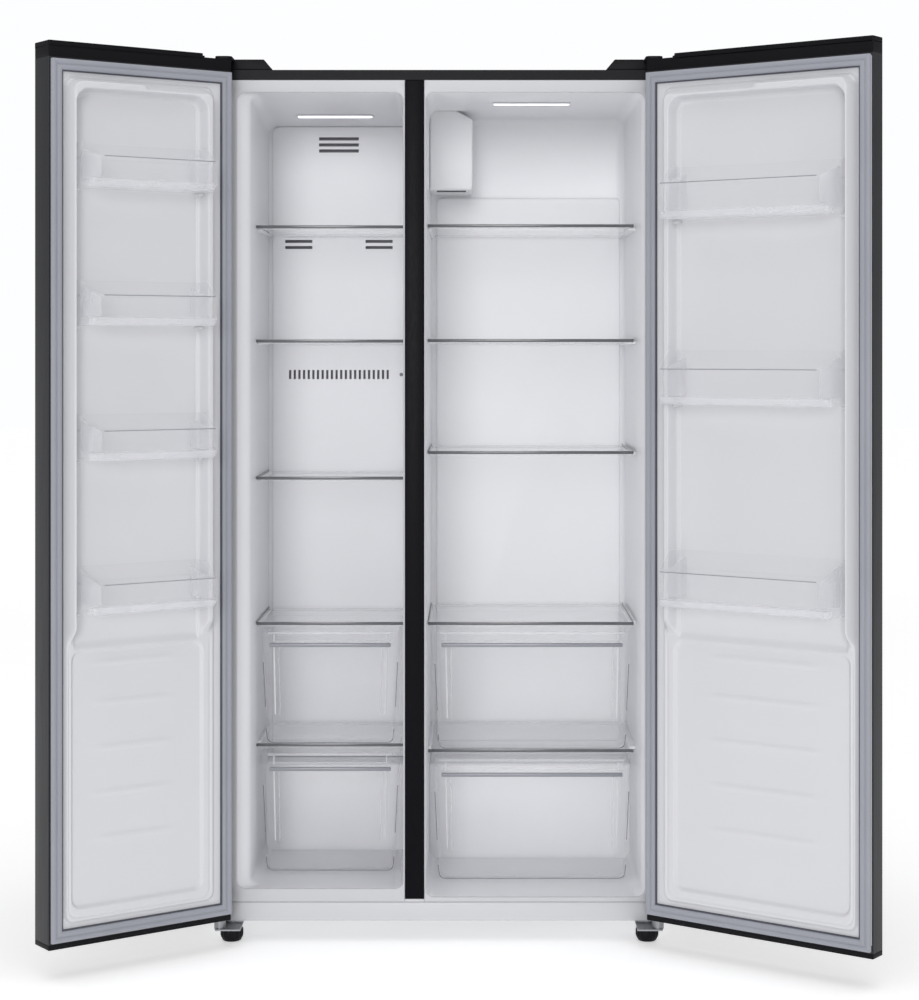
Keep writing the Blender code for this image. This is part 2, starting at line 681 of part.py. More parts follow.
# ---- covers and cooling parts ----
def make_freezer_cover(root):
    """The tray-shaped cover over the evaporator, with its air slots."""
    left, right = wall_span(-1)
    top = OPENING_TOP - FREEZER_CEILING_DROP - COVER_TOP_GAP
    low = (left + COVER_SIDE_GAP, COVER_FRONT, STEP_TOP + 2 * GAP)
    high = (right - COVER_SIDE_GAP, LINER_BACK - GAP, top)
    cover = make_object("freezer_back_cover", box((low, high)), root, (WHITE, 0.4, 0.0, 1.0))
    hollow = (
        (low[0] + COVER, COVER_FRONT + COVER, low[2] + COVER),
        (high[0] - COVER, LINER_BACK + PAST, high[2] - COVER),
    )
    cut(cover, box(hollow), "hollow")
    middle = (low[0] + high[0]) / 2
    slots = bmesh.new()
    for row in range(TOP_SLOTS):
        cover_slot(slots, middle, top - TOP_SLOT_BELOW - TOP_SLOT_PITCH * row, TOP_SLOT)
    shelves = shelf_heights(FREEZER_SHELF_SPOTS)
    for row in range(2):
        for offset in (-SHELF_SLOT_OFFSET, SHELF_SLOT_OFFSET):
            z = shelves[0] - SHELF_SLOT_BELOW - SHELF_SLOT_PITCH * row
            cover_slot(slots, middle + offset, z, SHELF_SLOT)
    for number in range(COMB_SLOTS):
        x = middle + (number - (COMB_SLOTS - 1) / 2) * COMB_PITCH
        cover_slot(slots, x, shelves[1] - COMB_BELOW, COMB_SLOT)
    return cut(cover, slots, "slots")


def cover_slot(slots, x, z, size):
    """One slot through the freezer cover's front, size wide and high, about (x, z)."""
    low = (x - size[0] / 2, COVER_FRONT - PAST, z - size[1] / 2)
    high = (x + size[0] / 2, COVER_FRONT + 2 * COVER, z + size[1] / 2)
    box((low, high), bm=slots)


def finned(left, wide, front, back, deep):
    """Plan of a coil block whose front is cut into fins by gaps of one depth."""
    pitch = wide / (2 * FINS - 1)
    outline = []
    for fin in range(FINS):
        x = left + 2 * fin * pitch
        outline += [(x, front), (x + pitch, front)]
        if fin < FINS - 1:
            outline += [(x + pitch, front + deep), (x + 2 * pitch, front + deep)]
    return outline + [(left + wide, back), (left, back)]


def make_evaporator(root):
    """A finned coil block behind the freezer cover."""
    middle = (-SIDE + FREEZER_WALL + FREEZER_RIGHT) / 2
    front = COVER_FRONT + COVER + EVAPORATOR_FRONT_GAP
    back = LINER_BACK - EVAPORATOR_BACK_GAP
    outline = finned(middle - EVAPORATOR_WIDTH / 2, EVAPORATOR_WIDTH, front, back, EVAPORATOR_FIN)
    block = prism(outline, "Z", EVAPORATOR_BOTTOM, EVAPORATOR_BOTTOM + EVAPORATOR_HEIGHT)
    make_object("evaporator", block, root, ((0.7, 0.71, 0.72), 0.35, 1.0, 1.0))


def fan(hub_radius, reach, deep):
    """A bladed rotor about the local Y axis: a hub and the blades to join to it."""
    hub = turned([(hub_radius, -deep / 2), (hub_radius, deep / 2)], axis="Y")
    wings = bmesh.new()
    half = BLADE_THICKNESS / 2
    inner, chord = hub_radius * 0.8, deep * 0.45  # starts inside the hub, stays within its depth
    for blade in range(BLADES):
        wing = box(((inner, -half, -chord), (reach, half, chord)))
        pitch = Matrix.Rotation(math.radians(BLADE_PITCH), 4, "X")
        turn = Matrix.Rotation(2 * math.pi * blade / BLADES, 4, "Y")
        bmesh.ops.transform(wing, matrix=turn @ pitch, verts=wing.verts)
        spare = bpy.data.meshes.new("wing")
        wing.to_mesh(spare)
        wing.free()
        wings.from_mesh(spare)
        bpy.data.meshes.remove(spare)
    return hub, wings


def make_fans(root):
    """The freezer's air fan and the condenser's fan, each with its origin on its axis."""
    middle = (-SIDE + FREEZER_WALL + FREEZER_RIGHT) / 2
    hub, wings = fan(*EVAPORATOR_FAN)
    at = (middle, (COVER_FRONT + LINER_BACK) / 2, EVAPORATOR_FAN_Z)
    rotor = make_object("evaporator_fan", hub, root, ((0.15, 0.15, 0.16), 0.5, 0.0, 1.0), at)
    join(rotor, wings, "blades")
    hub, wings = fan(*CONDENSER_FAN)
    quarter = Matrix.Rotation(math.pi / 2, 4, "Z")
    for shape in (hub, wings):
        bmesh.ops.transform(shape, matrix=quarter, verts=shape.verts)
    at = (0.0, machine_middle(), CONDENSER_FAN_Z)
    rotor = make_object("condenser_fan", hub, root, ((0.15, 0.15, 0.16), 0.5, 0.0, 1.0), at)
    join(rotor, wings, "blades")


def machine_middle():
    """Middle of the machine compartment, front to back."""
    return (STEP_Y + FOAM_OVER_MACHINES + CABINET_DEPTH) / 2


def make_fridge_duct(root):
    """The raised air duct panel on the fridge's back wall."""
    left, right = wall_span(1)
    low = (left + DUCT_SIDE_GAP, LINER_BACK - DUCT_COVER_DEPTH, STEP_TOP + DUCT_FOOT_GAP)
    high = (right - DUCT_SIDE_GAP, LINER_BACK - GAP, OPENING_TOP - DAMPER_HEIGHT - DUCT_TOP_GAP)
    panel = make_object("fridge_duct_cover", box((low, high)), root, (WHITE, 0.4, 0.0, 1.0))
    slots = bmesh.new()
    wide, tall = DUCT_SLOT
    for height in shelf_heights(FRIDGE_SHELF_SPOTS):
        z = height - DUCT_SLOT_BELOW
        for offset in (-DUCT_SLOT_OFFSET, DUCT_SLOT_OFFSET):
            x = (low[0] + high[0]) / 2 + offset
            slot_low = (x - wide / 2, low[1] - PAST, z - tall / 2)
            slot_high = (x + wide / 2, low[1] + DUCT_SLOT_DEPTH, z + tall / 2)
            box((slot_low, slot_high), bm=slots)
    return cut(panel, slots, "slots")


def make_damper_box(root):
    """The air control box in the fridge's upper left corner, with an air slot underneath."""
    left = FRIDGE_LEFT + GAP
    right, bottom = left + DAMPER_WIDTH, OPENING_TOP - DAMPER_HEIGHT
    top = OPENING_TOP - GAP
    chamfer_x, chamfer_z = DAMPER_CHAMFER
    outline = [
        (left, bottom),
        (right, bottom),
        (right, top - chamfer_z),
        (right - chamfer_x, top),
        (left, top),
    ]
    front, back = LINER_BACK - DAMPER_DEPTH, LINER_BACK - GAP
    made = make_object("damper_box", prism(outline, "Y", front, back), root, (WHITE, 0.4, 0.0, 1.0))
    inset = DAMPER_SLOT_INSET
    low = (left + inset, front + inset, bottom - PAST)
    high = (right - inset, front + inset + DAMPER_SLOT_DEPTH, bottom + DAMPER_SLOT_HEIGHT)
    return cut(made, box((low, high)), "slot")


def make_lenses(root):
    """The lamp lenses under the two ceilings."""
    lens = (LENS_LENGTH / 2, LENS_WIDTH / 2, LENS_THICKNESS)
    look = ((0.95, 0.95, 1.0), 0.3, 0.0, 1.0)
    fall = math.atan(FREEZER_CEILING_DROP / (LINER_BACK - LEAD_IN))
    freezer_z = OPENING_TOP - (FREEZER_LENS_Y - LEAD_IN) * math.tan(fall) - 2 * GAP
    freezer_x = (-SIDE + FREEZER_WALL + FREEZER_RIGHT) / 2
    bm = box(((-lens[0], -lens[1], -lens[2]), (lens[0], lens[1], 0.0)))
    made = make_object("freezer_led_lens", bm, root, look, (freezer_x, FREEZER_LENS_Y, freezer_z))
    made.rotation_euler = (-fall, 0.0, 0.0)
    fridge_x = (FRIDGE_LEFT + SIDE - FRIDGE_WALL) / 2
    bm = box(((-lens[0], -lens[1], -lens[2]), (lens[0], lens[1], 0.0)))
    make_object("fridge_led_lens", bm, root, look, (fridge_x, FRIDGE_LENS_Y, OPENING_TOP - 2 * GAP))


def make_machines(root):
    """Compressor and condenser on the base plate."""
    floor = CABINET_BOTTOM + BASE_SHEET + GAP
    y = machine_middle()
    compressor = turned(COMPRESSOR_PROFILE)
    look = ((0.02, 0.02, 0.022), 0.4, 0.2, 1.0)
    length, width, lift = COMPRESSOR_FOOT
    made = make_object("compressor", compressor, root, look, (COMPRESSOR_X, y, floor + lift))
    feet = box(((-length / 2, -width / 2, -lift), (length / 2, width / 2, lift / 2)))
    join(made, feet, "foot_plate")
    half = CONDENSER_DEPTH / 2
    outline = finned(CONDENSER_LEFT, CONDENSER_WIDTH, y - half, y + half, CONDENSER_FIN)
    coil = prism(outline, "Z", floor, floor + CONDENSER_HEIGHT)
    make_object("condenser", coil, root, ((0.03, 0.03, 0.03), 0.5, 0.6, 1.0))


def make_machine_cover(root):
    """The slotted cover that closes the machine compartment at the back."""
    reach = SIDE - SHEET - GAP
    low = (-reach, CABINET_DEPTH - SHEET, CABINET_BOTTOM + BASE_SHEET + GAP)
    high = (reach, CABINET_DEPTH, STEP_TOP - FOAM_OVER_MACHINES - GAP)
    cover = make_object("machine_cover", box((low, high)), root, ((0.10, 0.10, 0.11), 0.6, 0.0, 1.0))
    slots = bmesh.new()
    length, tall = LOUVRE
    for x in LOUVRE_GROUPS:
        for number in range(LOUVRES):
            z = low[2] + LOUVRE_BOTTOM + LOUVRE_PITCH * number
            slot_low = (x - length / 2, low[1] - PAST, z)
            slot_high = (x + length / 2, high[1] + PAST, z + tall)
            box((slot_low, slot_high), bm=slots)
    cut(cover, slots, "slots")


def roller_y():
    return CABINET_DEPTH - ROLLER_FROM_BACK


def roller_z():
    """Axle height: the roller's lowest flat touches the floor."""
    return ROLLER_RADIUS * math.cos(math.pi / ROUND)


def make_base(root):
    """The base plate with the ears and axles of the rear rollers folded down from it."""
    reach = SIDE - SHEET - GAP
    low = (-reach, KICK_THICKNESS + GAP, CABINET_BOTTOM)
    high = (reach, CABINET_DEPTH - SHEET - GAP, CABINET_BOTTOM + BASE_SHEET)
    base = make_object("base_plate", box((low, high)), root, ((0.30, 0.31, 0.32), 0.5, 0.9, 1.0))
    ears = bmesh.new()
    gap = ROLLER_WIDTH / 2 + EAR_GAP
    y = roller_y()
    for sign in (-1, 1):
        x = sign * (SIDE - ROLLER_FROM_SIDE)
        for edge in (-1, 1):
            near, far = sorted((x + edge * gap, x + edge * (gap + EAR_THICKNESS)))
            ear_low = (near, y - EAR_LENGTH / 2, roller_z() - AXLE_RADIUS - EAR_BELOW)
            ear_high = (far, y + EAR_LENGTH / 2, CABINET_BOTTOM + BASE_SHEET / 2)
            box((ear_low, ear_high), bm=ears)
    join(base, ears, "ears")
    axles = bmesh.new()
    for sign in (-1, 1):
        x = sign * (SIDE - ROLLER_FROM_SIDE)
        half = gap + EAR_THICKNESS / 2
        rod = [(AXLE_RADIUS, -half), (AXLE_RADIUS, half)]
        turned(rod, (x, y, roller_z()), "X", SMALL_ROUND, axles)
    join(base, axles, "axles")


def make_rollers(root):
    """The two rear rollers, each with its origin on its axle."""
    for sign, name in ((-1, "left"), (1, "right")):
        half = ROLLER_WIDTH / 2
        wheel = turned([(ROLLER_RADIUS, -half), (ROLLER_RADIUS, half)], axis="X")
        at = (sign * (SIDE - ROLLER_FROM_SIDE), roller_y(), roller_z())
        made = make_object(f"{name}_rear_roller", wheel, root, ((0.03, 0.03, 0.03), 0.6, 0.0, 1.0), at)
        bore = [(AXLE_HOLE_RADIUS, -half - PAST), (AXLE_HOLE_RADIUS, half + PAST)]
        cut(made, turned(bore, axis="X", sides=SMALL_ROUND), "bore")


def make_feet(root):
    """The two levelling feet, each a turned knob with a stud, with its origin on its axis."""
    knob = [(FOOT_RADIUS * share, height) for share, height in FOOT_PROFILE]
    stud = [(STUD_RADIUS, knob[-1][1]), (STUD_RADIUS, CABINET_BOTTOM - STUD_TOP_GAP)]
    look = ((0.01, 0.01, 0.01), 0.5, 0.0, 1.0)
    for sign, name in ((-1, "left"), (1, "right")):
        at = (sign * (SIDE - FOOT_X_FROM_SIDE), FOOT_Y, 0.0)
        make_object(f"{name}_levelling_foot", turned(knob + stud), root, look, at)


# ---- hinges ----
def make_bottom_hinge(root, sign, name):
    """The plate under the cabinet's front corner, with the lower pin and the foot's bush."""
    top = CABINET_BOTTOM - GAP
    side_x = SIDE - BOTTOM_PLATE_INSET
    x = sorted((sign * side_x, sign * (side_x - BOTTOM_PLATE_WIDTH)))
    low = (x[0], HINGE_Y - BOTTOM_PLATE_FRONT, top - 2 * HINGE_PLATE)
    high = (x[1], BOTTOM_PLATE_BACK, top - HINGE_PLATE)
    plate = make_object(name, box((low, high)), root, ((0.62, 0.63, 0.65), 0.3, 1.0, 1.0))
    seat = ((x[0], GAP + KICK_THICKNESS, top - 1.5 * HINGE_PLATE), (x[1], BOTTOM_PLATE_BACK, top))
    join(plate, box(seat), "seat")
    axis = (sign * HINGE_X, HINGE_Y)
    pin_top = DOOR_BOTTOM + BOTTOM_CAP - PIN_END_GAP
    pin = turned([(PIN_RADIUS, top - 1.5 * HINGE_PLATE), (PIN_RADIUS, pin_top)], (*axis, 0.0))
    join(plate, pin, "pin")
    ring = [(WASHER_RADIUS, top - 1.4 * HINGE_PLATE), (WASHER_RADIUS, DOOR_BOTTOM - 2 * GAP)]
    join(plate, turned(ring, (*axis, 0.0)), "washer")
    foot = (sign * (SIDE - FOOT_X_FROM_SIDE), FOOT_Y)
    hole = [(STUD_HOLE_RADIUS, top - 2 * HINGE_PLATE - PAST), (STUD_HOLE_RADIUS, top + PAST)]
    cut(plate, turned(hole, (*foot, 0.0)), "stud_hole")


def make_top_hinge(root, sign, name):
    """The plate on the cabinet top whose raised arm carries the upper pin."""
    base_low = CABINET_TOP + GAP
    front, back = HINGE_Y - ARM_FRONT, HINGE_COVER_BACK - TOP_PLATE_BACK_GAP
    bend, flat = ARM_BEND
    outline = [
        (front, ARM_LOW),
        (bend, ARM_LOW),
        (flat, base_low),
        (back, base_low),
        (back, base_low + HINGE_PLATE),
        (flat + HINGE_PLATE, base_low + HINGE_PLATE),
        (bend + HINGE_PLATE, ARM_TOP),
        (front, ARM_TOP),
    ]
    outer = SIDE - TOP_PLATE_INSET
    x = sorted((sign * outer, sign * (outer - TOP_PLATE_WIDTH)))
    plate = make_object(name, prism(outline, "X", *x), root, ((0.35, 0.36, 0.38), 0.4, 1.0, 1.0))
    axis = (sign * HINGE_X, HINGE_Y, 0.0)
    pin = turned([(PIN_RADIUS, ARM_LOW - PIN_LENGTH), (PIN_RADIUS, ARM_LOW + HINGE_PLATE / 2)], axis)
    return join(plate, pin, "pin")


def make_hinge_cover(root, sign, name):
    """The dark shell over the upper hinge, sloped on its inner side and rounded round the pin."""
    bottom = CABINET_TOP + GAP
    top = CABINET_TOP + HINGE_COVER_HEIGHT
    outer, inner = SIDE - HINGE_COVER_INSET, SIDE - HINGE_COVER_WIDTH
    outline = [
        (sign * outer, bottom),
        (sign * inner, bottom),
        (sign * (inner + HINGE_COVER_SLOPE), top),
        (sign * outer, top),
    ]
    bm = prism(outline, "Y", HINGE_COVER_INSET, HINGE_COVER_BACK)
    cover = make_object(name, bm, root, ((0.010, 0.010, 0.013), 0.45, 0.0, 1.0))
    reach = SIDE - TOP_PLATE_INSET - TOP_PLATE_WIDTH - NOSE_SIDE
    x = sorted((sign * outer, sign * reach))
    nose = box(((x[0], HINGE_Y - NOSE_FRONT, ARM_TOP + GAP), (x[1], NOSE_BACK, top)))
    join(cover, nose, "nose")
    wall = COVER_WALL
    hollow_outline = [
        (sign * (outer - wall), bottom - PAST),
        (sign * (inner + HINGE_COVER_SLOPE), bottom - PAST),
        (sign * (inner + HINGE_COVER_SLOPE + wall), ARM_TOP + GAP),
        (sign * (outer - wall), ARM_TOP + GAP),
    ]
    cut(cover, prism(hollow_outline, "Y", -PAST, HINGE_COVER_BACK - wall), "hollow")


# ---- doors, drawn in the hinge's own axes: x along the door, y towards the food when closed ----
def door_width(hand):
    """Width of the freezer door (hand 1) or the fridge door (hand -1), which meet at the divider."""
    return SIDE + hand * DIVIDER_CENTRE - DOOR_SPLIT / 2


def free_edge(hand):
    return door_width(hand) - HINGE_INSET


def make_door_skin(carrier, hand, name):
    """The folded steel skin: a tray open towards the liner, with a finger grip down its free edge."""
    edge = free_edge(hand)
    bottom, top = DOOR_BOTTOM + BOTTOM_CAP + GAP, DOOR_TOP - TOP_CAP - GAP
    if hand < 0:
        outer = [
            (-HINGE_INSET, OUTER_FACE),
            (edge - GRIP_WIDTH, OUTER_FACE),
            (edge, OUTER_FACE + GRIP_DEPTH),
            (edge, HINGE_BEHIND),
            (-HINGE_INSET, HINGE_BEHIND),
        ]
        inner = [
            (-HINGE_INSET + SHEET, OUTER_FACE + SHEET),
            (edge - GRIP_WIDTH - SHEET, OUTER_FACE + SHEET),
            (edge - SHEET, OUTER_FACE + GRIP_DEPTH + SHEET),
            (edge - SHEET, HINGE_BEHIND + PAST),
            (-HINGE_INSET + SHEET, HINGE_BEHIND + PAST),
        ]
    else:
        groove = edge - GROOVE_INSET
        outer = [
            (-HINGE_INSET, OUTER_FACE),
            (groove - GRIP_DEPTH, OUTER_FACE),
            (groove - GRIP_DEPTH + GROOVE_SLOPE, OUTER_FACE + GRIP_WIDTH),
            (groove, OUTER_FACE + GRIP_WIDTH),
            (groove, OUTER_FACE),
            (edge, OUTER_FACE),
            (edge, HINGE_BEHIND),
            (-HINGE_INSET, HINGE_BEHIND),
        ]
        inner = [
            (-HINGE_INSET + SHEET, OUTER_FACE + SHEET),
            (groove - GRIP_DEPTH - SHEET, OUTER_FACE + SHEET),
            (groove - GRIP_DEPTH + GROOVE_SLOPE - SHEET, OUTER_FACE + GRIP_WIDTH + SHEET),
            (groove + SHEET, OUTER_FACE + GRIP_WIDTH + SHEET),
            (groove + SHEET, OUTER_FACE + SHEET),
            (edge - SHEET, OUTER_FACE + SHEET),
            (edge - SHEET, HINGE_BEHIND + PAST),
            (-HINGE_INSET + SHEET, HINGE_BEHIND + PAST),
        ]
    shell = handed(prism(outer, "Z", bottom, top), hand)
    look = ((0.058, 0.060, 0.065), 0.38, 0.6, 1.0)
    skin = make_object(f"{name}_door_panel", shell, carrier, look)
    hollow = handed(prism(inner, "Z", bottom + SHEET, top - SHEET), hand)
    return cut(skin, hollow, "hollow")


def cap_outline(hand):
    """Plan of the door, which both end caps share."""
    edge = free_edge(hand)
    if hand < 0:
        grip = [(edge - GRIP_WIDTH, OUTER_FACE), (edge, OUTER_FACE + GRIP_DEPTH)]
    else:
        grip = [(edge, OUTER_FACE)]
    return [(-HINGE_INSET, OUTER_FACE), *grip, (edge, HINGE_BEHIND), (-HINGE_INSET, HINGE_BEHIND)]


def make_door_caps(carrier, hand, name):
    """The end caps at the top and the bottom, with the holes that the hinge pins turn in."""
    look = ((0.020, 0.020, 0.024), 0.5, 0.0, 1.0)
    plan = cap_outline(hand)
    upper = handed(prism(plan, "Z", DOOR_TOP - TOP_CAP, DOOR_TOP), hand)
    top = make_object(f"{name}_door_top_cap", upper, carrier, look)
    under = DOOR_TOP - HINGE_STEP
    step = (
        (-HINGE_INSET - PAST, OUTER_FACE - PAST, under),
        (HINGE_STEP_LENGTH, HINGE_BEHIND + PAST, DOOR_TOP + PAST),
    )
    cut(top, handed(box(step), hand), "step")
    hole = [(PIN_HOLE_RADIUS, under - PIN_LENGTH - PIN_HOLE_GAP), (PIN_HOLE_RADIUS, under + PAST)]
    cut(top, turned(hole), "pin_hole")
    high = DOOR_BOTTOM + BOTTOM_CAP
    lower = handed(prism(plan, "Z", DOOR_BOTTOM, high), hand)
    foot = make_object(f"{name}_door_bottom_cap", lower, carrier, look)
    hole = [(PIN_HOLE_RADIUS, DOOR_BOTTOM - PAST), (PIN_HOLE_RADIUS, high + PAST)]
    cut(foot, turned(hole), "pin_hole")


def liner_ends():
    """Lowest and highest Z of a door's liner and of its gasket."""
    return DOOR_BOTTOM + BOTTOM_CAP + LINER_END, DOOR_TOP - TOP_CAP - LINER_END


def border_edges(hand):
    """Edges of a door liner's raised border: hinge side, free side, bottom and top."""
    low, high = liner_ends()
    hinge_side = -HINGE_INSET + GASKET_WIDTH + BORDER_FROM_HINGE_SEAL
    free_side = free_edge(hand) - GASKET_WIDTH - BORDER_FROM_FREE_SEAL
    reach = GASKET_WIDTH + BORDER_FROM_END_SEAL
    return hinge_side, free_side, low + reach, high - reach


def pocket_span(hand):
    """Sides of the pocket between a door's dykes, which holds the bins."""
    return -HINGE_INSET + POCKET_FROM_HINGE, free_edge(hand) - POCKET_FROM_FREE


def dykes_and_bridge(hand, base):
    """The dykes down both sides of the pocket, and the bar across its top."""
    hinge_side, free_side, _bottom, top = border_edges(hand)
    pocket = pocket_span(hand)
    buried, crest = base + BORDER_HEIGHT - OVERLAP, base + DYKE_HEIGHT
    foot_x, free_x = hinge_side + HINGE_DYKE_EDGE, free_side - FREE_DYKE_EDGE
    hinge_dyke = [
        (foot_x, buried),
        (foot_x + HINGE_DYKE_SLOPE, crest),
        (pocket[0] - HINGE_DYKE_INNER_SLOPE, crest),
        (pocket[0], buried),
    ]
    free_dyke = [
        (pocket[1], buried),
        (pocket[1] + FREE_DYKE_INNER_SLOPE, crest),
        (free_x - FREE_DYKE_SLOPE, crest),
        (free_x, buried),
    ]
    dyke_top = top - DYKE_END
    dykes = bmesh.new()
    for outline in (hinge_dyke, free_dyke):
        prism(outline, "Z", DYKE_FOOT, dyke_top, dykes)
    under = dyke_top - BRIDGE_HEIGHT
    bridge = [
        (buried, under),
        (crest, under + BRIDGE_SLOPE),
        (crest, dyke_top - BRIDGE_TOP_EDGE - BRIDGE_TOP_SLOPE),
        (buried, dyke_top - BRIDGE_TOP_EDGE),
    ]
    across = prism(bridge, "X", hinge_side + BRIDGE_FROM_HINGE, free_side - BRIDGE_FROM_FREE)
    return dykes, across


def bin_bosses(hand, base, bottoms):
    """The bosses that each bin's two ends stand on."""
    pocket = pocket_span(hand)
    bosses = bmesh.new()
    for bottom in bottoms:
        for wall, inward in ((pocket[0], 1), (pocket[1], -1)):
            near, far = sorted((wall - inward * OVERLAP, wall + inward * BOSS))
            low = (near, base + DOOR_LINER / 2, bottom - BOSS_HEIGHT)
            box((low, (far, base + BOSS_DEPTH, bottom - GAP)), bm=bosses)
    return bosses


def make_door_liner(carrier, hand, name, bottoms):
    """The moulded inner face: a low border, two dykes joined across the top, and the bins' bosses."""
    base = HINGE_BEHIND + GAP
    low, high = liner_ends()
    edge = free_edge(hand) - LINER_EDGE
    plate = box(((-HINGE_INSET + LINER_EDGE, base, low), (edge, base + DOOR_LINER, high)))
    liner = make_object(f"{name}_door_liner", handed(plate, hand), carrier, (WHITE, 0.38, 0.0, 1.0))
    hinge_side, free_side, bottom, top = border_edges(hand)
    border = box(((hinge_side, base + DOOR_LINER / 2, bottom), (free_side, base + BORDER_HEIGHT, top)))
    join(liner, handed(border, hand), "border")
    dykes, across = dykes_and_bridge(hand, base)
    join(liner, handed(dykes, hand), "dykes")
    join(liner, handed(across, hand), "bridge")
    pocket = pocket_span(hand)
    above = base + DYKE_HEIGHT + PAST
    space = (
        (pocket[0], base + DOOR_LINER, DYKE_FOOT + POCKET_FOOT),
        (pocket[1], above, top - DYKE_END - BRIDGE_HEIGHT),
    )
    cut(liner, handed(box(space), hand), "pocket")
    panel = (
        (hinge_side + PANEL_FROM_HINGE, base + DOOR_LINER + PANEL_FLOOR, bottom + PANEL_FROM_BOTTOM),
        (free_side - PANEL_FROM_FREE, above, DYKE_FOOT - PANEL_UNDER_DYKES),
    )
    cut(liner, handed(box(panel), hand), "panel")
    return join(liner, handed(bin_bosses(hand, base, bottoms), hand), "bosses")


def make_gasket(carrier, hand, name):
    """The magnetic seal, a rectangular ring on the liner's edge."""
    base = HINGE_BEHIND + DOOR_LINER + 2 * GAP
    low, high = liner_ends()
    near, far = -HINGE_INSET + LINER_EDGE, free_edge(hand) - LINER_EDGE
    ring = box(((near, base, low), (far, base + GASKET_THICKNESS, high)))
    look = ((0.28, 0.29, 0.33), 0.7, 0.0, 1.0)
    made = make_object(f"{name}_door_gasket", handed(ring, hand), carrier, look)
    wide = GASKET_WIDTH
    hole_low = (near + wide, base - PAST, low + wide)
    hole_high = (far - wide, base + GASKET_THICKNESS + PAST, high - wide)
    return cut(made, handed(box((hole_low, hole_high)), hand), "hole")


def bin_bottoms(spots):
    """Heights of the bins' undersides, from the top one down."""
    span = DOOR_TOP - BIN_ZONE_TOP - BIN_ZONE_BOTTOM
    return [BIN_ZONE_BOTTOM + spot * span for spot in spots]


def make_bin(carrier, hand, name, bottom, heights):
    """A clear door bin: high at the back, low at the front. Its origin is under its back edge."""
    pocket = pocket_span(hand)
    start, end = pocket[0] + BIN_SIDE_GAP, pocket[1] - BIN_SIDE_GAP
    base = HINGE_BEHIND + GAP + DOOR_LINER + BIN_BACK_GAP
    deep = BIN_FRONT - base
    back, front = heights
    chamfer_y, chamfer_z = BIN_CHAMFER
    outer = [
        (0.0, 0.0),
        (deep - chamfer_y, 0.0),
        (deep, chamfer_z),
        (deep, front),
        (deep * BIN_FULL_HEIGHT, back),
        (0.0, back),
    ]
    wall = BIN_WALL
    inner = [
        (wall, wall),
        (deep - chamfer_y - wall / 2, wall),
        (deep - wall, chamfer_z + wall / 2),
        (deep - wall, back + PAST),
        (wall, back + PAST),
    ]
    at = (hand * start, base, bottom)
    long = end - start
    look = (CLEAR, 0.15, 0.0, 0.45)
    made = make_object(name, handed(prism(outer, "X", 0.0, long), hand), carrier, look, at)
    return cut(made, handed(prism(inner, "X", wall, long - wall), hand), "inside")


def make_door(root, hand, name, spots, heights):
    """One door on its hinge empty, turned open, with its bins."""
    carrier = make_empty(f"{name}_door_hinge", (-hand * HINGE_X, HINGE_Y, 0.0), root, -hand * OPEN)
    bottoms = bin_bottoms(spots)
    make_door_skin(carrier, hand, name)
    make_door_caps(carrier, hand, name)
    make_door_liner(carrier, hand, name, bottoms)
    make_gasket(carrier, hand, name)
    for number, bottom in enumerate(bottoms, start=1):
        make_bin(carrier, hand, f"{name}_door_bin_{number}", bottom, heights)
    return carrier


def open_reach(hand):
    """How far an open door's outer corner lies to the side of the cabinet's middle."""
    inset = GRIP_WIDTH if hand < 0 else 0.0
    along = free_edge(hand) - inset
    return HINGE_X - along * math.cos(OPEN) - OUTER_FACE * math.sin(OPEN)


def frame_offset():
    """Moves the cabinet so that the origin is under the middle of the whole open object."""
    reach = pocket_span(-1)[1] - BIN_SIDE_GAP
    front = HINGE_Y - reach * math.sin(OPEN) + BIN_FRONT * math.cos(OPEN)
    return (open_reach(1) - open_reach(-1)) / 2, -(CABINET_DEPTH + front) / 2, 0.0


def main():
    clear_scene()
    root = make_empty("refrigerator", frame_offset())
    make_shell(root)
    make_back_panel(root)
    make_foam(root)
    make_liner(root, -1, "freezer")
    make_liner(root, 1, "fridge")
    make_divider(root)
    make_kick_panel(root)
    make_base(root)
    make_shelves_and_drawers(root)
    make_freezer_cover(root)
    make_evaporator(root)
    make_fans(root)
    make_fridge_duct(root)
    make_damper_box(root)
    make_lenses(root)
    make_machines(root)
    make_machine_cover(root)
    make_rollers(root)
    make_feet(root)
    for sign, name in ((-1, "freezer"), (1, "fridge")):
        make_bottom_hinge(root, sign, f"{name}_bottom_hinge")
        make_top_hinge(root, sign, f"{name}_top_hinge")
        make_hinge_cover(root, sign, f"{name}_hinge_cover")
    make_door(root, 1, "freezer", FREEZER_BIN_SPOTS, FREEZER_BIN)
    make_door(root, -1, "fridge", FRIDGE_BIN_SPOTS, FRIDGE_BIN)


main()
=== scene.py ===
"""Looks of the side by side refrigerator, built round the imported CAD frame."""

import json
import math

import bmesh
import bpy
import numpy as np
from mathutils import Matrix, Vector

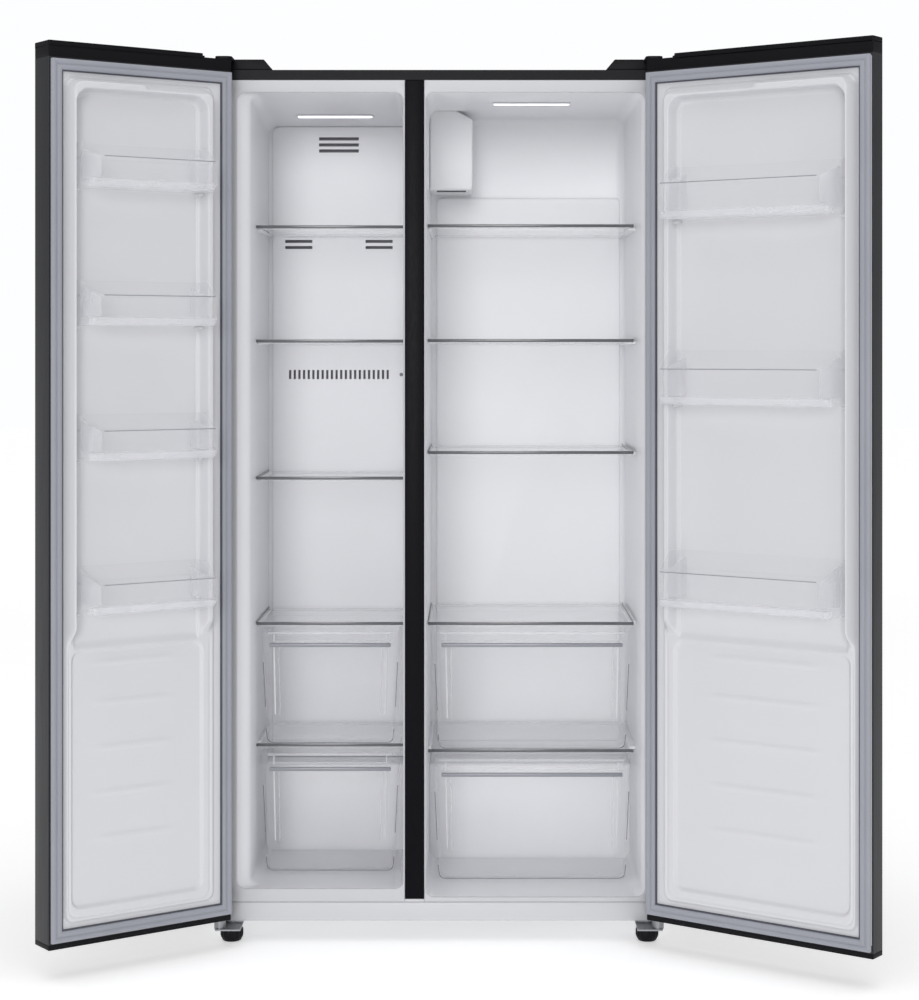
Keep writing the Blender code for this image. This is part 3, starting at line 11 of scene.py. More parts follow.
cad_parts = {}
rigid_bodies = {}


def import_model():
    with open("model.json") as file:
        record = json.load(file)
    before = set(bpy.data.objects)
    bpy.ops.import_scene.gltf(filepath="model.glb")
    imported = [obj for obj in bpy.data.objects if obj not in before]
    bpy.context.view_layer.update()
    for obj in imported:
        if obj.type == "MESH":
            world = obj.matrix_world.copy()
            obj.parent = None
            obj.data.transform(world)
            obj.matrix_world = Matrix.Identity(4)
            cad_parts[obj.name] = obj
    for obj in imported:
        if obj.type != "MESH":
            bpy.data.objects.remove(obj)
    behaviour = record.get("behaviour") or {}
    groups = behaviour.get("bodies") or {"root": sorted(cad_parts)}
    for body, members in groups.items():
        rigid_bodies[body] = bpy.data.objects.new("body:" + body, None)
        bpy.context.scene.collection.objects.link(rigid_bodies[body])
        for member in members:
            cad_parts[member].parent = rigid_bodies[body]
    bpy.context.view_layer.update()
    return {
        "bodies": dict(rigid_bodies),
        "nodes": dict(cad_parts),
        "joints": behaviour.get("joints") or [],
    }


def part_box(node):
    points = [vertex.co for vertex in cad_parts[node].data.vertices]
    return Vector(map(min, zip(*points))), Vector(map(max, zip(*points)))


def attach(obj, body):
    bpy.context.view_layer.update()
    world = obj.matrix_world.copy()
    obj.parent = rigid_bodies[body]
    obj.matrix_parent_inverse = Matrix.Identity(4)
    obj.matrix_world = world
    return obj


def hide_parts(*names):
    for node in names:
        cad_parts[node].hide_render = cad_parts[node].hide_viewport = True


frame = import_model()
NODES = frame["nodes"]


# ---------------------------------------------------------------- materials
def new_material(name):
    """A material with its Principled shader."""
    material = bpy.data.materials.new(name)
    material.use_nodes = True
    tree = material.node_tree
    return material, tree, tree.nodes["Principled BSDF"]


def link(tree, out_node, out_socket, in_node, in_socket):
    tree.links.new(out_node.outputs[out_socket], in_node.inputs[in_socket])


def noise(tree, stretch, scale, detail=3.0, rough=0.55):
    """Noise in the object's own coordinates, stretched along its axes."""
    where = tree.nodes.new("ShaderNodeTexCoord")
    mapping = tree.nodes.new("ShaderNodeMapping")
    mapping.inputs["Scale"].default_value = stretch
    link(tree, where, "Object", mapping, "Vector")
    texture = tree.nodes.new("ShaderNodeTexNoise")
    texture.inputs["Scale"].default_value = scale
    texture.inputs["Detail"].default_value = detail
    texture.inputs["Roughness"].default_value = rough
    link(tree, mapping, "Vector", texture, "Vector")
    return texture


def spread(tree, texture, low, high):
    """The noise's middle range, mapped to a range of values."""
    node = tree.nodes.new("ShaderNodeMapRange")
    node.inputs["From Min"].default_value = 0.3
    node.inputs["From Max"].default_value = 0.7
    node.inputs["To Min"].default_value = low
    node.inputs["To Max"].default_value = high
    link(tree, texture, "Fac", node, "Value")
    return node


def tint(tree, factor, first, second):
    """A colour between two, by a value."""
    node = tree.nodes.new("ShaderNodeMix")
    node.data_type = "RGBA"
    node.inputs[6].default_value = (*first, 1.0)
    node.inputs[7].default_value = (*second, 1.0)
    tree.links.new(factor, node.inputs[0])
    return node.outputs[2]


def bump(tree, shader, texture, strength, distance):
    node = tree.nodes.new("ShaderNodeBump")
    node.inputs["Strength"].default_value = strength
    node.inputs["Distance"].default_value = distance
    link(tree, texture, "Fac", node, "Height")
    link(tree, node, "Normal", shader, "Normal")


def finish_of(name, colour, shade, rough, grain, relief, metal=0.0, stretch=(1, 1, 1), coat=0.0, gloss=0.5):
    """A finish with a drifting tone, a fine grain that drives roughness, and relief from the same grain."""
    material, tree, shader = new_material(name)
    drift = noise(tree, (1, 1, 1), 5.0, 2.0)
    low = tuple(c * (1 - shade) for c in colour)
    high = tuple(min(1.0, c * (1 + shade)) for c in colour)
    colour_out = tint(tree, spread(tree, drift, 0.0, 1.0).outputs[0], low, high)
    tree.links.new(colour_out, shader.inputs["Base Color"])
    fine = noise(tree, stretch, grain)
    link(tree, spread(tree, fine, rough * 0.85, rough * 1.15), "Result", shader, "Roughness")
    bump(tree, shader, fine, *relief)
    shader.inputs["Metallic"].default_value = metal
    shader.inputs["Coat Weight"].default_value = coat
    shader.inputs["Specular IOR Level"].default_value = gloss
    return material


def clear_plastic(name, colour, rough, facing, edge):
    """Clear plastic or glass: nearly unseen face on, milkier at a glancing angle, with faint flow lines."""
    material, tree, shader = new_material(name)
    flow = noise(tree, (1, 1, 0.25), 14.0, 2.0)
    darker = tuple(c * 0.97 for c in colour)
    colour_out = tint(tree, spread(tree, flow, 0.0, 1.0).outputs[0], darker, colour)
    tree.links.new(colour_out, shader.inputs["Base Color"])
    link(tree, spread(tree, flow, rough * 0.7, rough * 1.3), "Result", shader, "Roughness")
    bump(tree, shader, flow, 0.02, 0.001)
    glance = tree.nodes.new("ShaderNodeLayerWeight")
    glance.inputs["Blend"].default_value = 0.35
    body = tree.nodes.new("ShaderNodeMapRange")
    body.inputs["To Min"].default_value = facing
    body.inputs["To Max"].default_value = edge
    link(tree, glance, "Facing", body, "Value")
    link(tree, body, "Result", shader, "Alpha")
    shader.inputs["IOR"].default_value = 1.45
    return material


def lamp(name, colour, strength):
    """A frosted lens that glows."""
    material, tree, shader = new_material(name)
    speckle = noise(tree, (1, 1, 1), 240.0)
    darker = tuple(c * 0.97 for c in colour)
    colour_out = tint(tree, spread(tree, speckle, 0.0, 1.0).outputs[0], darker, colour)
    tree.links.new(colour_out, shader.inputs["Base Color"])
    tree.links.new(colour_out, shader.inputs["Emission Color"])
    shader.inputs["Emission Strength"].default_value = strength
    shader.inputs["Roughness"].default_value = 0.4
    return material


SATIN, MATT, POLISHED = (0.10, 0.0004), (0.15, 0.0005), (0.05, 0.0003)  # strength and depth of relief
WHITE = finish_of("white_liner", (0.875, 0.878, 0.902), 0.008, 0.34, 420.0, SATIN, gloss=0.4)
# The door liners' white is a darker copy of the liner white: painted shade.
WHITE_DOOR_SHADED = finish_of("white_door_liner_shaded", (0.655, 0.658, 0.682), 0.010, 0.36, 460.0, SATIN, gloss=0.4)
# The freezer's white is a darker copy of the liner white: painted shade.
WHITE_COLD_SHADED = finish_of("white_freezer_liner_shaded", (0.805, 0.808, 0.834), 0.008, 0.34, 420.0, SATIN, gloss=0.4)
# The flanges' white is a darker copy of the liner white: painted shade.
WHITE_FLANGE_SHADED = finish_of("white_flange_shaded", (0.56, 0.564, 0.590), 0.008, 0.38, 420.0, SATIN, gloss=0.3)
# The kick panel's white is a darker copy of the trim white: painted shade against the light it catches from the
# floor.
KICK_WHITE_SHADED = finish_of("white_kick_shaded", (0.60, 0.604, 0.625), 0.010, 0.42, 380.0, MATT, gloss=0.4)
WHITE_TRIM = finish_of("white_trim", (0.88, 0.884, 0.905), 0.010, 0.42, 380.0, MATT, gloss=0.4)
DARK_STEEL = finish_of(
    "dark_steel", (0.034, 0.035, 0.038), 0.05, 0.42, 300.0, SATIN, 0.4, (1, 1, 0.02), gloss=0.3
)
CABINET_STEEL = finish_of("cabinet_enamel", (0.009, 0.009, 0.012), 0.05, 0.42, 500.0, (0.20, 0.0006), gloss=0.10)
BLACK = finish_of("black_plastic", (0.006, 0.006, 0.008), 0.08, 0.46, 650.0, (0.30, 0.0006), gloss=0.12)
DIVIDER = finish_of(
    "divider_black", (0.003, 0.003, 0.005), 0.06, 0.38, 500.0, SATIN, 0.0, (1, 1, 0.1), gloss=0.07
)
RUBBER = finish_of("grey_rubber", (0.325, 0.335, 0.378), 0.03, 0.62, 700.0, (0.25, 0.0006), gloss=0.3)
# Dark lip on the seal's inner edge: partly its own dark rubber, partly painted shade of the groove between seal
# and liner.
SEAL_LIP_SHADE = finish_of("seal_lip_painted_shade", (0.085, 0.088, 0.112), 0.05, 0.55, 600.0, (0.2, 0.0005), gloss=0.3)
HINGE_STEEL = finish_of("hinge_steel", (0.27, 0.275, 0.29), 0.06, 0.34, 260.0, MATT, 0.85, (1, 0.05, 1))
ZINC = finish_of("zinc_sheet", (0.50, 0.51, 0.53), 0.10, 0.45, 60.0, (0.12, 0.0008), 0.85)
ENAMEL = finish_of("black_enamel", (0.018, 0.018, 0.020), 0.10, 0.38, 220.0, (0.20, 0.0006), 0.1)
FIN = finish_of("bare_fins", (0.70, 0.71, 0.73), 0.06, 0.34, 300.0, MATT, 1.0)
FOAM = finish_of("rigid_foam", (0.74, 0.60, 0.33), 0.12, 0.90, 160.0, (0.60, 0.002))
VENT = finish_of("vent_shadow", (0.21, 0.214, 0.240), 0.10, 0.60, 300.0, (0.20, 0.0005))
GREY_EDGE = finish_of("glass_edge", (0.115, 0.120, 0.130), 0.05, 0.18, 300.0, POLISHED, 0.0, (0.1, 1, 1))
# Grey for the drawers' rails and the bins' rim lines: partly the rails' own grey, partly painted shade where
# clear edges look dark.
RAIL_SHADE = finish_of("rail_grey_painted_shade", (0.28, 0.285, 0.318), 0.03, 0.22, 300.0, POLISHED, 0.0, (0.1, 1, 1))
GLASS = clear_plastic("shelf_glass", (0.84, 0.87, 0.87), 0.03, 0.012, 0.10)
CLEAR = clear_plastic("clear_plastic", (0.88, 0.885, 0.92), 0.08, 0.025, 0.20)
FROST = clear_plastic("frosted_plastic", (0.86, 0.865, 0.90), 0.25, 0.16, 0.45)
MILKY = clear_plastic("milky_plastic", (0.80, 0.805, 0.840), 0.30, 0.24, 0.60)
# Dark outlines on the clear drawers: painted shade of their edges.
PLASTIC_EDGE_SHADE = clear_plastic("plastic_edge_painted_shade", (0.20, 0.205, 0.235), 0.25, 0.55, 0.80)
LED = lamp("lamp_lens", (0.96, 0.97, 1.0), 1.2)


# ---------------------------------------------------------------- mesh tools
def piece(name, bm, body, material, replaces=(), matrix=None, smooth=42):
    """One named piece on a CAD body. The matrix takes its vertices to the frame's own axes."""
    if matrix is not None:
        bm.transform(matrix)
        if matrix.determinant() < 0:
            bmesh.ops.reverse_faces(bm, faces=bm.faces)
    mesh = bpy.data.meshes.new(name)
    bm.to_mesh(mesh)
    bm.free()
    for one in material if isinstance(material, (list, tuple)) else [material]:
        mesh.materials.append(one)
    mesh.shade_smooth()
    mesh.set_sharp_from_angle(angle=math.radians(smooth))
    made = bpy.data.objects.new(name, mesh)
    bpy.context.scene.collection.objects.link(made)
    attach(made, body)
    if replaces:
        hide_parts(*replaces)
    return made


def soften(bm, width, segments=3, angle=35):
    """Round every edge that is sharper than an angle."""
    limit = math.radians(angle)
    edges = [e for e in bm.edges if len(e.link_faces) == 2 and e.calc_face_angle(0) > limit]
    bmesh.ops.bevel(
        bm, geom=edges, offset=width, segments=segments, profile=0.5, affect="EDGES", clamp_overlap=True
    )
    return bm


def block(*spans, bm=None):
    """Boxes from (x0, x1, y0, y1, z0, z1)."""
    bm = bm or bmesh.new()
    for x0, x1, y0, y1, z0, z1 in spans:
        middle = Matrix.Translation(((x0 + x1) / 2, (y0 + y1) / 2, (z0 + z1) / 2))
        bmesh.ops.create_cube(bm, size=1.0, matrix=middle @ Matrix.Diagonal((x1 - x0, y1 - y0, z1 - z0, 1)))
    return bm


def ring(x0, x1, z0, z1, radius, steps=6):
    """A rectangle with round corners, as 2-D points anticlockwise from the lower right."""
    radius = max(radius, 0.0003)
    points = []
    for cx, cz, start in (
        (x1 - radius, z0 + radius, -90),
        (x1 - radius, z1 - radius, 0),
        (x0 + radius, z1 - radius, 90),
        (x0 + radius, z0 + radius, 180),
    ):
        for i in range(steps + 1):
            angle = math.radians(start + 90 * i / steps)
            points.append((cx + radius * math.cos(angle), cz + radius * math.sin(angle)))
    return points


def loft(rings, first=False, last=False, bm=None, loop=False):
    """Skin a list of equal rings of 3-D points, with or without end caps, or closed on itself."""
    bm = bm or bmesh.new()
    rows = [[bm.verts.new(point) for point in one] for one in rings]
    count = len(rows[0])
    for a, b in zip(rows, rows[1:] + rows[:1] if loop else rows[1:]):
        for i in range(count):
            j = (i + 1) % count
            bm.faces.new((a[i], a[j], b[j], b[i]))
    if first:
        bm.faces.new(list(reversed(rows[0])))
    if last:
        bm.faces.new(rows[-1])
    bmesh.ops.recalc_face_normals(bm, faces=bm.faces)
    return bm


def fillet(points, radii, steps=5):
    """A closed outline whose corners are rounded, each by its own radius."""
    out = []
    count = len(points)
    for i, corner in enumerate(points):
        radius = radii[i] if isinstance(radii, (list, tuple)) else radii
        here = Vector(corner)
        back = Vector(points[i - 1]) - here
        ahead = Vector(points[(i + 1) % count]) - here
        if radius <= 0:
            out.append(tuple(here))
            continue
        angle = back.angle(ahead)
        reach = min(radius / math.tan(angle / 2), back.length * 0.49, ahead.length * 0.49)
        start, end = here + back.normalized() * reach, here + ahead.normalized() * reach
        for k in range(steps + 1):
            t = k / steps
            out.append(tuple(start * (1 - t) ** 2 + here * 2 * t * (1 - t) + end * t * t))
    return out


def column(outline, z0, z1, edge=0.0, bm=None):
    """Push an outline of (x, y) points up from z0 to z1, its two ends rounded by edge."""
    middle = sum((Vector(p) for p in outline), Vector((0, 0))) / len(outline)

    def level(z, inset):
        out = []
        for point in outline:
            away = Vector(point) - middle
            pull = inset / max(away.length, 1e-6)
            out.append((point[0] - away.x * pull, point[1] - away.y * pull, z))
        return out

    if edge:
        rings = [level(z0, edge), level(z0 + edge * 0.3, edge * 0.3), level(z0 + edge, 0)]
        rings += [level(z1 - edge, 0), level(z1 - edge * 0.3, edge * 0.3), level(z1, edge)]
    else:
        rings = [level(z0, 0), level(z1, 0)]
    return loft(rings, True, True, bm)


def merge(*parts):
    """Several bmeshes as one."""
    first = parts[0]
    for other in parts[1:]:
        spare = bpy.data.meshes.new("spare")
        other.to_mesh(spare)
        other.free()
        first.from_mesh(spare)
        bpy.data.meshes.remove(spare)
    return first


def carve(obj, cutter, name):
    """Cut a shape out of a piece for good. The cut's own faces take the piece's second material."""
    for face in cutter.faces:
        face.material_index = 1
    mesh = bpy.data.meshes.new(name)
    cutter.to_mesh(mesh)
    cutter.free()
    mesh.materials.append(obj.data.materials[0])
    mesh.materials.append(obj.data.materials[1])
    tool = bpy.data.objects.new(name, mesh)
    bpy.context.scene.collection.objects.link(tool)
    modifier = obj.modifiers.new("cut", "BOOLEAN")
    modifier.operation, modifier.solver, modifier.object = "DIFFERENCE", "EXACT", tool
    bpy.context.view_layer.update()
    graph = bpy.context.evaluated_depsgraph_get()
    made = bpy.data.meshes.new_from_object(obj.evaluated_get(graph), depsgraph=graph)
    obj.modifiers.clear()
    old = obj.data
    obj.data = made
    bpy.data.meshes.remove(old)
    bpy.data.objects.remove(tool)
    made.shade_smooth()
    made.set_sharp_from_angle(angle=math.radians(35))


def ramp(value, low, high):
    """A smooth rise from 0 at low to 1 at high."""
    t = np.clip((value - low) / (high - low), 0.0, 1.0)
    return t * t * (3 - 2 * t)


def inside(x, z, x0, x1, z0, z1, radius):
    """Distance into a rounded rectangle, negative outside it."""
    dx = np.abs(x - (x0 + x1) / 2) - ((x1 - x0) / 2 - radius)
    dz = np.abs(z - (z0 + z1) / 2) - ((z1 - z0) / 2 - radius)
    outside = np.hypot(np.maximum(dx, 0), np.maximum(dz, 0)) + np.minimum(np.maximum(dx, dz), 0)
    return radius - outside


# ---------------------------------------------------------------- places
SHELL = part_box("cabinet_shell")
CX, CY = (SHELL[0].x + SHELL[1].x) / 2, SHELL[0].y
TOP, SIDE, BACK = SHELL[1].z, (SHELL[1].x - SHELL[0].x) / 2, SHELL[1].y - CY
HERE = Matrix.Translation((CX, CY, 0))
DIVIDE = [v - CX for v in (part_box("divider_strip")[0].x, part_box("divider_strip")[1].x)]
CEILING_DROP = 0.003  # the ceilings hang this much lower than in the CAD
OPEN_TOP = TOP - 0.043 - CEILING_DROP  # top of both mouths
FREEZER_FALL = 0.032  # how much the freezer's ceiling falls towards the back
LEAD_IN = 0.033  # depth where that fall starts
LINER_BACK = BACK - 0.080
LIP = 0.0030  # radius of the mouths' rolled edge
MOUTH_CORNER, WALL_CORNER = 0.017, 0.022
FUNNEL = 0.035  # depth over which a mouth narrows to its walls
GLASS_THICK = 0.004
UNDER_GLASS = 0.0004  # play between a pane and what lies under it
DRAWER_TAPER = 0.012
DRAWER_WALL, DRAWER_CORNER = 0.0026, 0.016
RIBS = [0.262, 0.349, 0.436, 0.523, 0.600]  # heights of the doors' low ribs
DYKE_FOOT = 0.640  # where the doors' dykes start
HINGE = {j["child"]: j for j in frame["joints"] if j["type"] == "hinge"}


def here(node):
    """A node's box with the cabinet's front middle as the origin: x0, x1, y0, y1, z0, z1."""
    low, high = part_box(node)
    return low.x - CX, high.x - CX, low.y - CY, high.y - CY, low.z, high.z


def door_matrix(name):
    """From a door's own axes (along the door, towards the food, up) to the frame's."""
    joint = HINGE[f"{name}_door"]
    hand = 1 if name == "freezer" else -1
    turn = math.radians(joint["range_deg"][0]) * hand
    x, y, _z = joint["pos_m"]
    return Matrix.Translation((x, y, 0)) @ Matrix.Rotation(turn, 4, "Z") @ Matrix.Diagonal((hand, 1, 1, 1))


def door_box(node, matrix):
    """A node's box in the door's own axes: a0, a1, b0, b1, z0, z1."""
    back = np.array(matrix.inverted())
    points = np.array([v.co for v in NODES[node].data.vertices], float)
    points = points @ back[:3, :3].T + back[:3, 3]
    low, high = points.min(0), points.max(0)
    return low[0], high[0], low[1], high[1], low[2], high[2]


# ---------------------------------------------------------------- cabinet
def ceiling(side, y):
    """Height of a compartment's ceiling at one depth: the freezer's falls towards the back."""
    drop = FREEZER_FALL if side == "freezer" else 0.0
    return OPEN_TOP - drop * max(0.0, (y - LEAD_IN) / (LINER_BACK - LEAD_IN))


def liner_walls(side):
    """Mouth and wall X, and the floor, of one compartment."""
    if side == "freezer":
        return -SIDE + 0.040, DIVIDE[0] - 0.004, -SIDE + 0.065, DIVIDE[0] - 0.004, 0.110
    return DIVIDE[1] + 0.004, SIDE - 0.033, DIVIDE[1] + 0.004, SIDE - 0.039, 0.093


def make_shoulder(w0, w1, sink):
    """The step of the freezer liner round its back cover: two sides and a top."""
    x0, x1, y0, _y1, z0, z1 = here("freezer_back_cover")
    front, roof, wide = y0 + 0.004, ceiling("freezer", y0), 0.030
    left, right = x0 + wide, x1 - wide
    bm = bmesh.new()
    for a, b, low in ((w0, left, z0), (right, w1, z0), (left, right, z1 + sink)):
        block((a, b, front, LINER_BACK + sink, low, roof), bm=bm)
    return bm


def make_liner(side):
    """The moulded liner: flange, rolled lip, lead-in and walls that end in a rounded back."""
    m0, m1, w0, w1, floor = liner_walls(side)
    fx0, fx1, _y0, _y1, fz0, fz1 = here(f"{side}_liner")
    rings = []

    def add(y, x0, x1, z0, z1, radius):
        rings.append([(x, y, z) for x, z in ring(x0, x1, z0, z1, radius)])

    def at(y):
        t = min(max(y / FUNNEL, 0.0), 1.0)
        t = t * t * (3 - 2 * t)
        return m0 + (w0 - m0) * t, m1 + (w1 - m1) * t, floor, ceiling(side, y)

    rim, ease, rim_corner = 0.006, 0.0008, 0.001
    add(rim, fx0, fx1, fz0, fz1, rim_corner)
    add(0.0009, fx0, fx1, fz0, fz1, rim_corner)
    add(0.0, fx0 + ease, fx1 - ease, fz0 + ease, fz1 - ease, rim_corner)
    for k in range(5):
        angle = math.radians(90 * k / 4)
        lip = LIP * (1 - math.sin(angle))
        x0, x1, z0, z1 = at(0.0)
        add(LIP * (1 - math.cos(angle)), x0 - lip, x1 + lip, z0 - lip, z1 + lip, MOUTH_CORNER + lip)
    for y in (0.008, 0.014, 0.020, 0.027, FUNNEL, 0.20):
        add(y, *at(y), MOUTH_CORNER + 0.005 * min(y / FUNNEL, 1))
    for k in range(7):
        angle = math.radians(90 * k / 6)
        y = LINER_BACK - WALL_CORNER + WALL_CORNER * math.sin(angle)
        x0, x1, z0, z1 = at(y)
        inset = WALL_CORNER * (1 - math.cos(angle))
        add(y, x0 + inset, x1 - inset, z0 + inset, z1 - inset, WALL_CORNER)
    bm = loft(rings, last=True)
    bmesh.ops.reverse_faces(bm, faces=bm.faces)
    sink, hump_front, hump_top = 0.002, BACK - 0.250, 0.300
    w0, w1 = w0 - sink, w1 + sink
    hump = block((w0, w1, hump_front, LINER_BACK + sink, floor - sink, hump_top))
    soften(hump, width=0.0065, segments=4)
    front = [face for face in bm.faces if face.calc_center_median().y < 0.0005]
    if sum(face.normal.y * face.calc_area() for face in front) > 0:
        bmesh.ops.reverse_faces(bm, faces=bm.faces)
    ledges = bmesh.new()
    bite, reach, start, stop, thick = 0.001, 0.006, 0.060, 0.004, 0.006
    shelves = [f"{side}_shelf_{n}" for n in (1, 2, 3)] + [f"{side}_drawer_shelf", f"{side}_middle_shelf"]
    for shelf in shelves:
        x0, x1, y0, y1, _z0, z1 = here(shelf)
        under = z1 - GLASS_THICK - UNDER_GLASS
        for a, b in ((w0 + bite, x0 + reach), (x1 - reach, w1 - bite)):
            block((a, b, y0 + start, y1 - stop, under - thick, under), bm=ledges)
    soften(ledges, width=0.0014, segments=2)
    bm = merge(bm, hump, ledges)
    if side == "freezer":
        bm = merge(bm, make_shoulder(w0, w1, sink))
    # The flange faces take the darker copy of the white: painted shade.
    flange_depth = 0.004
    flange = [face for face in bm.faces if face.calc_center_median().y < flange_depth]
    for face in flange:
        face.material_index = 1
    # The freezer's walls take the darker copy of the white: painted shade.
    inner = WHITE_COLD_SHADED if side == "freezer" else WHITE
    piece(f"{side}_liner_moulding", bm, "cabinet", [inner, WHITE_FLANGE_SHADED], (f"{side}_liner",), matrix=HERE)


def make_slab(x0, x1, y0, y1, z0, z1, radius, edge):
    """A raised panel on the back wall: round corners and a rolled front edge."""
    rings = [[(x, y1, z) for x, z in ring(x0, x1, z0, z1, radius)]]
    for k in range(5):
        angle = math.radians(90 * k / 4)
        inset = edge * (1 - math.cos(angle))
        y = y0 + edge * (1 - math.sin(angle))
        rings.append([(x, y, z) for x, z in ring(x0 + inset, x1 - inset, z0 + inset, z1 - inset, radius)])
    return loft(rings, True, True)


def make_freezer_cover():
    """The cover on the freezer's back wall, with its air slots, their frames and the sensor's dot."""
    x0, x1, y0, y1, z0, z1 = here("freezer_back_cover")
    top = ceiling("freezer", y0) - 0.0008
    bm = make_slab(x0 + 0.004, x1 + 0.0036, y0, y1, z0, top, radius=0.016, edge=0.003)
    # The cover and its frames take the freezer's darker copy of the white: painted shade.
    paints = [WHITE_COLD_SHADED, VENT]
    cover = piece("freezer_air_cover", bm, "cabinet", paints, ("freezer_back_cover",), matrix=HERE)
    cuts = bmesh.new()
    middle = (x0 + x1) / 2
    upper = here("freezer_shelf_1")[5] - 0.019
    comb = here("freezer_shelf_2")[5] - 0.076
    aside, teeth, pitch = 0.089, 22, 0.0103

    def slot(x, z, wide, tall):
        block((x - wide / 2, x + wide / 2, y0 - 0.01, y0 + 0.012, z - tall / 2, z + tall / 2), bm=cuts)

    for row in range(3):
        slot(middle, z1 - 0.013 - 0.0134 * row, wide=0.088, tall=0.007)
    for row in range(2):
        for offset in (-aside, aside):
            slot(middle + offset, upper - 0.0135 * row, wide=0.060, tall=0.0065)
    for number in range(teeth):
        slot(middle + (number - (teeth - 1) / 2) * pitch, comb, wide=0.005, tall=0.020)
    cuts.transform(HERE)
    carve(cover, cuts, "slot_tool")
    frames = bmesh.new()
    sunk, proud, band = y0 + 0.001, y0 - 0.0012, 0.003
    for x, z, wide, tall in (
        (middle, z1 - 0.0264, 0.098, 0.046),
        (middle - aside, upper - 0.0068, 0.068, 0.030),
        (middle + aside, upper - 0.0068, 0.068, 0.030),
    ):
        a0, a1, b0, b1 = x - wide / 2, x + wide / 2, z - tall / 2, z + tall / 2
        outer = ring(a0, a1, b0, b1, 0.004, 3)
        inner = ring(a0 + band, a1 - band, b0 + band, b1 - band, 0.002, 3)
        steps = ((sunk, outer), (proud, outer), (proud, inner), (sunk, inner))
        loft([[(p, y, q) for p, q in line] for y, line in steps], bm=frames)
    dot = ring(x1 - 0.0175, x1 - 0.0095, comb - 0.004, comb + 0.004, 0.004, 4)
    spot = loft([[(p, y, q) for p, q in dot] for y in (sunk, y0 - 0.0015)], last=True)
    piece("freezer_vent_frames", frames, "cabinet", WHITE_COLD_SHADED, matrix=HERE)
    piece("freezer_sensor_dot", spot, "cabinet", VENT, matrix=HERE)


def make_fridge_covers():
    """The raised duct panel on the fridge's back wall and the air box in its upper corner."""
    x0, x1, y0, y1, z0, z1 = here("fridge_duct_cover")
    bm = make_slab(x0, x1, y0, y1, z0, z1, radius=0.010, edge=0.005)
    piece("fridge_duct_panel", bm, "cabinet", WHITE_TRIM, ("fridge_duct_cover",), matrix=HERE)
    x0, x1, y0, y1, z0, z1 = here("damper_box")
    outline = [(x0, z0), (x1, z0), (x1, z1 - 0.021), (x1 - 0.039, z1), (x0, z1)]
    outline = fillet(outline, [0.001, 0.010, 0.008, 0.008, 0.001])
    rings = [[(x, y1, z) for x, z in outline]]
    middle = Vector(((x0 + x1) / 2, (z0 + z1) / 2))
    roll, half_wide, half_tall = 0.006, 0.06, 0.09
    for k in range(5):
        angle = math.radians(90 * k / 4)
        share = roll * (1 - math.cos(angle))
        y = y0 + roll * (1 - math.sin(angle))
        in_x, in_z = share / half_wide, share / half_tall
        rings.append([(x + (middle.x - x) * in_x, y, z + (middle.y - z) * in_z) for x, z in outline])
    bm = loft(rings, True, True)
    box = piece("fridge_air_box", bm, "cabinet", [WHITE_TRIM, VENT], ("damper_box",), matrix=HERE)
    rim = 0.015
    cut = block((x0 + rim, x1 - rim, y0 + rim, y0 + 0.060, z0 - 0.01, z0 + 0.030))
    cut.transform(HERE)
    carve(box, cut, "slot_tool")


def make_lenses():
    """Each lamp: a frosted bezel flush with the ceiling and a narrower glowing strip down its middle."""
    for name in ("freezer_led_lens", "fridge_led_lens"):
        x0, x1, y0, y1, z0, z1 = here(name)
        lens_depth = 0.003
        fall = (z1 - z0 - lens_depth) / (y1 - y0)
        z1 -= CEILING_DROP

        def pad(inset_x, inset_y, steps, radius):
            rings = []
            for inset, down in steps:
                in_x, in_y = inset_x + inset, inset_y + inset
                outline = ring(x0 + in_x, x1 - in_x, y0 + in_y, y1 - in_y, radius - inset)
                rings.append([(x, y, z1 - down - fall * (y - y0)) for x, y in outline])
            return loft(rings, True, True)

        bezel_steps = ((0.0, 0.0), (0.0, 0.0008), (0.0008, 0.0014), (0.003, 0.0015))
        strip_steps = ((0.0, 0.0012), (0.0, 0.0022), (0.0008, 0.0028))
        bezel = pad(0.0, 0.0, bezel_steps, radius=0.008)
        strip = pad(0.003, 0.008, strip_steps, radius=0.006)
        piece(name + "_bezel", bezel, "cabinet", WHITE_TRIM, matrix=HERE)
        piece(name + "_glow", strip, "cabinet", LED, (name,), matrix=HERE)


def make_front():
    """The dark strip on the partition, the white foot under it and the kick panel."""
    x0, x1, y0, y1, z0, z1 = here("divider_strip")
    strip = soften(block((x0, x1, y0, y1, z0, z1)), width=0.0018)
    piece("divider_strip_cover", strip, "cabinet", DIVIDER, ("divider_strip",), matrix=HERE)
    x0, x1, y0, y1, z0, z1 = here("kick_panel")
    panel = soften(block((x0, x1, y0, y1, z0, z1)), width=0.003)
    gap = 0.0004
    strip_foot = here("divider_strip")[4]
    # The foot and the kick panel take the darker copy of the white: painted shade.
    foot = block((DIVIDE[0] - gap, DIVIDE[1] + gap, gap, 0.0062, z1 + gap, strip_foot - gap))
    piece("partition_foot", soften(foot, 0.0008, 2), "cabinet", KICK_WHITE_SHADED, matrix=HERE)
    piece("kick_panel_cover", panel, "cabinet", KICK_WHITE_SHADED, ("kick_panel",), matrix=HERE)


